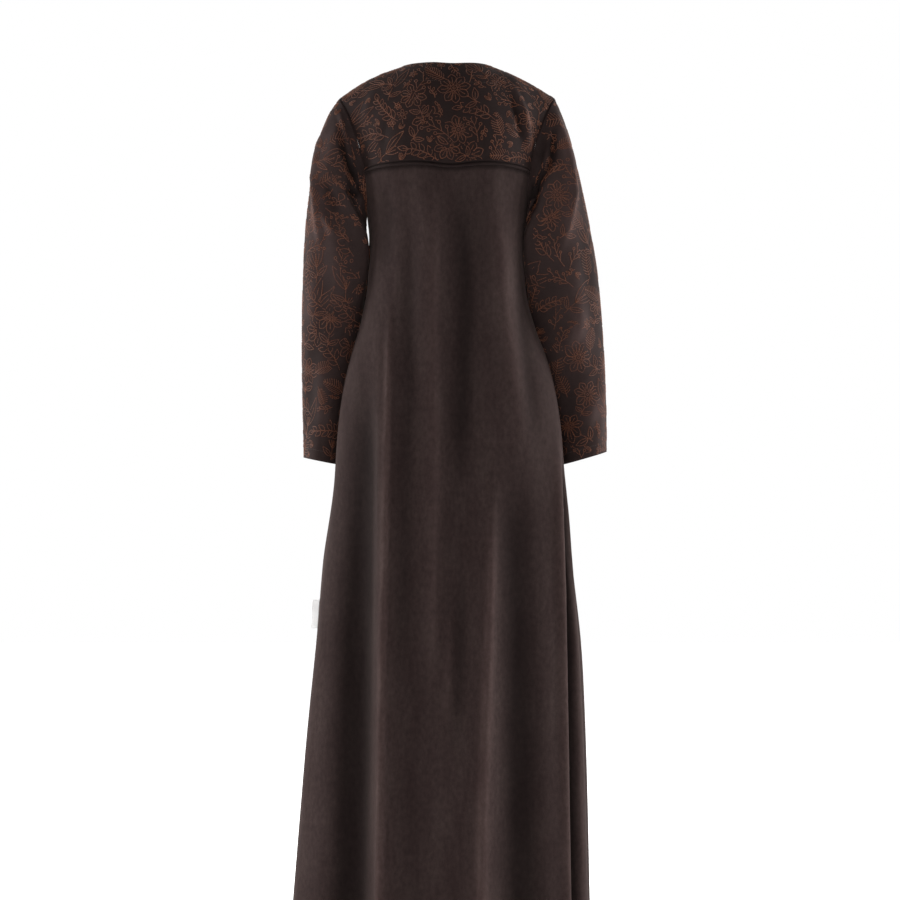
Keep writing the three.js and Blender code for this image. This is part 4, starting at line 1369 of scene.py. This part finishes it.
def thread_material(name, scale, dark, light, roughness, specular):
    made, tree, shader = nodes_of(name)
    place = scaled(tree, object_place(tree), (scale,) * 3)
    colour = ramp(tree, noise(tree, place, 3, 0.6), (0.3, dark), (0.7, light))
    tree.links.new(colour, shader.inputs["Base Color"])
    shader.inputs["Roughness"].default_value = roughness
    shader.inputs["Specular IOR Level"].default_value = specular
    return made


def label_material():
    made, tree, shader = nodes_of("label_satin")
    weave = wave(tree, cloth_place(tree, 1800, 1800), Distortion=0.5)
    colour = ramp(tree, weave, (0.2, (0.84, 0.83, 0.82)), (0.8, (0.93, 0.92, 0.91)))
    tree.links.new(colour, shader.inputs["Base Color"])
    shader.inputs["Roughness"].default_value = 0.4
    bumped(tree, shader, weave, 0.15, 0.0002)
    return made


def floor_material():
    made, tree, shader = nodes_of("floor")
    colour = ramp(tree, noise(tree, object_place(tree), 2, 0.5), (0.3, 0.93), (0.7, 0.96))
    tree.links.new(colour, shader.inputs["Base Color"])
    tree.links.new(colour, shader.inputs["Emission Color"])
    shader.inputs["Emission Strength"].default_value = FLOOR_GLOW
    shader.inputs["Roughness"].default_value = 0.9
    return made


# The pieces.

suede = suede_material()
embroidered = embroidered_material()
thread = thread_material("embroidery_thread", 60, (0.07, 0.022, 0.01), (0.13, 0.043, 0.019), 0.45, 0.25)
sewing_thread = thread_material("sewing_thread", 90, (0.026, 0.016, 0.014), (0.044, 0.028, 0.025), 0.5, 0.35)
label_satin = label_material()


def slot_of(node):
    return "embroidered_cloth" if node in EMBROIDERED_NODES else "suede"


def cloth_piece(node, grid):
    points, out, thick = grid if len(grid) == 3 else (*grid, CLOTH)
    material = embroidered if node in EMBROIDERED_NODES else suede
    piece = shell_mesh(f"{node}_cloth", points, out, thick, node.startswith("sleeve"), material)
    # The crest attribute carries the painted highlight and shade of the folds into the material.
    crest = np.clip(painted_fold_shading[node], -1, 1).ravel()
    layer = piece.data.attributes.new("crest", "FLOAT", "POINT")
    layer.data.foreach_set("value", np.concatenate([crest, crest]).astype(np.float32))
    return sewn_on(piece, slot_of(node), node)


grids = {"back_panel": back_panel_grid(), "back_yoke": back_yoke_grid()}
grids.update({f"front_{word}": front_grid(side) for side, word in SIDES.items()})
grids.update({f"sleeve_{word}": sleeve_grid(side) for side, word in SIDES.items()})
cloths = {node: cloth_piece(node, grid) for node, grid in grids.items()}
flat = {node: cut_open(grid) if node.startswith("sleeve") else grid[:2] for node, grid in grids.items()}

# The motifs keep this many of the yoke's lowest grid rows bare, where its edge is turned.
BARE_ROWS = 14
charts = {node: Chart(*grid) for node, grid in flat.items() if node != "back_yoke"}
charts["back_yoke"] = Chart(*(part[:-BARE_ROWS] for part in flat["back_yoke"]))

EMBROIDERY = table("name node seed spacing tries", [
    ("embroidery_yoke", "back_yoke", 7, 42, 5000),
    ("embroidery_sleeve_left", "sleeve_left", 21, 46, 7000),
    ("embroidery_sleeve_right", "sleeve_right", 34, 46, 7000),
])
threads = {node: [] for node in grids}
for row in EMBROIDERY:
    sewn = embroidery(row["name"], charts[row["node"]], row["seed"], row["spacing"], row["tries"])
    threads[row["node"]].append(sewn)


# Rows of stitches: the facing below the neckline, the cuffs, the hem and the front edge.

NECK_ROW = [(97, -13), (70, -19), (40, -21), (0, -23), (-40, -24), (-75, -24), (-98, -22)]
CUFF_ROW = 18
HEM_ROW = 24
FRONT_EDGE_ROW = 9


def neck_run(chart):
    x, z = np.array(NECK_ROW, float)[::-1].T
    rows, columns = [], []
    for column in range(1, YOKE_COLUMNS):
        line = chart.points[:, column]
        row = np.interp(-np.interp(line[:, 0].mean(), x, z), -line[:, 2], np.arange(len(line)))
        if abs(line[int(row), 0]) < NECK_ROW[0][0]:
            rows.append(row)
            columns.append(column)
    return sewn_run(chart, np.array(rows), np.array(columns, float), 0.7)


def stitch_row(node):
    if node == "back_yoke":
        return neck_run(charts[node])
    run = level_run(charts[node], CUFF_ROW if node.startswith("sleeve") else HEM_ROW)
    if node == "front_right":
        run += upright_run(charts[node], FRONT_EDGE_ROW)
    return run


for node in grids:
    name = f"stitches_{node}"
    sewn = stitch_mesh(name, stitch_row(node), SEWING_WIDTH, SEWING_HEIGHT, sewing_thread, slot_of(node))
    threads[node].append(sewn)


# The bare ribbon label, folded over on itself and caught in the left side seam.

LABEL_THICK = 0.3
LABEL_FOLD = 0.55
LABEL_CURL = 1.4
LABEL_TWIST = 5.2
LABEL_STEPS = 12


def label_grid():
    above, below = (sheet_point("back", 1.0, LABEL_Z + half * LABEL_HEIGHT / 2) for half in (1, -1))
    lean = (above[0] - below[0]) / LABEL_HEIGHT
    turn = np.linspace(0, np.pi, LABEL_STEPS - 1)
    reach = LABEL_STANDS - LABEL_FOLD
    straight = np.linspace(0, reach, LABEL_STEPS, endpoint=False)
    side = np.full(LABEL_STEPS, LABEL_FOLD)
    x = np.concatenate([straight, reach + LABEL_FOLD * np.sin(turn), straight[::-1]])
    y = np.concatenate([side, LABEL_FOLD * np.cos(turn), -side])
    down = np.linspace(0.5, -0.5, 33)[:, None]
    curl = LABEL_CURL * (x / LABEL_STANDS)[None, :] ** 2 * np.sin(down * LABEL_TWIST)
    at_x = (above[0] + below[0]) / 2 + SEAM_GAP + x[None, :] + lean * down * LABEL_HEIGHT
    points = stacked(at_x, y[None, :] + curl, LABEL_Z + down * LABEL_HEIGHT)
    return points, grid_out(points)


label_cloth = label_grid()
side_label = shell_mesh("side_label_ribbon", *label_cloth, LABEL_THICK, False, label_satin)
sewn_on(side_label, "label_satin", "side_label")


# The flat size that each piece was cut to.

# The stated area is at most this share of the flat rectangle.
MOST_OF_RECTANGLE = 0.98


def declare(piece, points):
    place = unrolled(points).reshape(-1, 2)
    width, length = (place.max(axis=0) - place.min(axis=0)) * MM
    area = min(cloth_area(points), MOST_OF_RECTANGLE * width * length)


for node, (points, _) in flat.items():
    declare(cloths[node], points)
declare(side_label, label_cloth[0])


# Camera, stage and light, in metres.

CAMERA = (-0.005, 4.0, -0.656)
LENS = 91.4
FLOOR_Z = -1.5
FLOOR_HALF = 6

camera_data = bpy.data.cameras.new("camera")
camera_data.sensor_width = 36
camera_data.lens = LENS
camera = bpy.data.objects.new("camera", camera_data)
camera.location = CAMERA
camera.rotation_euler = (math.radians(90), 0, math.radians(180))
bpy.context.scene.collection.objects.link(camera)
bpy.context.scene.camera = camera

ends = [(-1, -1), (1, -1), (1, 1), (-1, 1)]
corners = [(x * FLOOR_HALF, y * FLOOR_HALF, FLOOR_Z) for x, y in ends]
floor = linked_mesh("floor", corners, [(0, 1, 2, 3)], floor_material())

# The room is brighter in front of the garment than behind it, and plain white to the camera.
world = bpy.data.worlds.new("studio")
world.use_nodes = True
room = world.node_tree
parts = add_node(room, "ShaderNodeSeparateXYZ")
room.links.new(add_node(room, "ShaderNodeTexCoord").outputs["Generated"], parts.inputs["Vector"])
glow = ramp(room, from_signed(room, parts.outputs["Y"]), (0.3, 1), (0.5, (0.32, 0.32, 0.33)), (0.75, 0.1))
seen = add_node(room, "ShaderNodeLightPath")
white = add_node(room, "ShaderNodeMix", data_type="RGBA")
white.inputs[7].default_value = (1, 1, 1, 1)
room.links.new(seen.outputs["Is Camera Ray"], white.inputs[0])
room.links.new(glow, white.inputs[6])
room.links.new(white.outputs[2], room.nodes["Background"].inputs["Color"])
room.nodes["Background"].inputs["Strength"].default_value = 1.0
bpy.context.scene.world = world
bpy.context.scene.view_settings.view_transform = "Standard"


# Each light's place, the height on the garment's axis that it is turned to, its size and its power.
LIGHTS = table("name place aim_z size power", [
    ("left", (2.5, -0.3, 0.1), -0.7, (0.8, 2.4), 100),
    ("right", (-2.5, -0.3, 0.1), -0.7, (0.8, 2.4), 100),
    ("above_camera", (0.3, 3.8, 0.6), -0.8, (1.1, 1.1), 62),
])


def soft_light(name, place, aim_z, size, power):
    data = bpy.data.lights.new(name, "AREA")
    data.shape = "RECTANGLE"
    data.size, data.size_y = size
    data.energy = power
    obj = bpy.data.objects.new(name, data)
    obj.location = place
    direction = Vector((0, 0, aim_z)) - Vector(place)
    obj.rotation_euler = direction.to_track_quat("-Z", "Y").to_euler()
    bpy.context.scene.collection.objects.link(obj)


for light in LIGHTS:
    soft_light(**light)
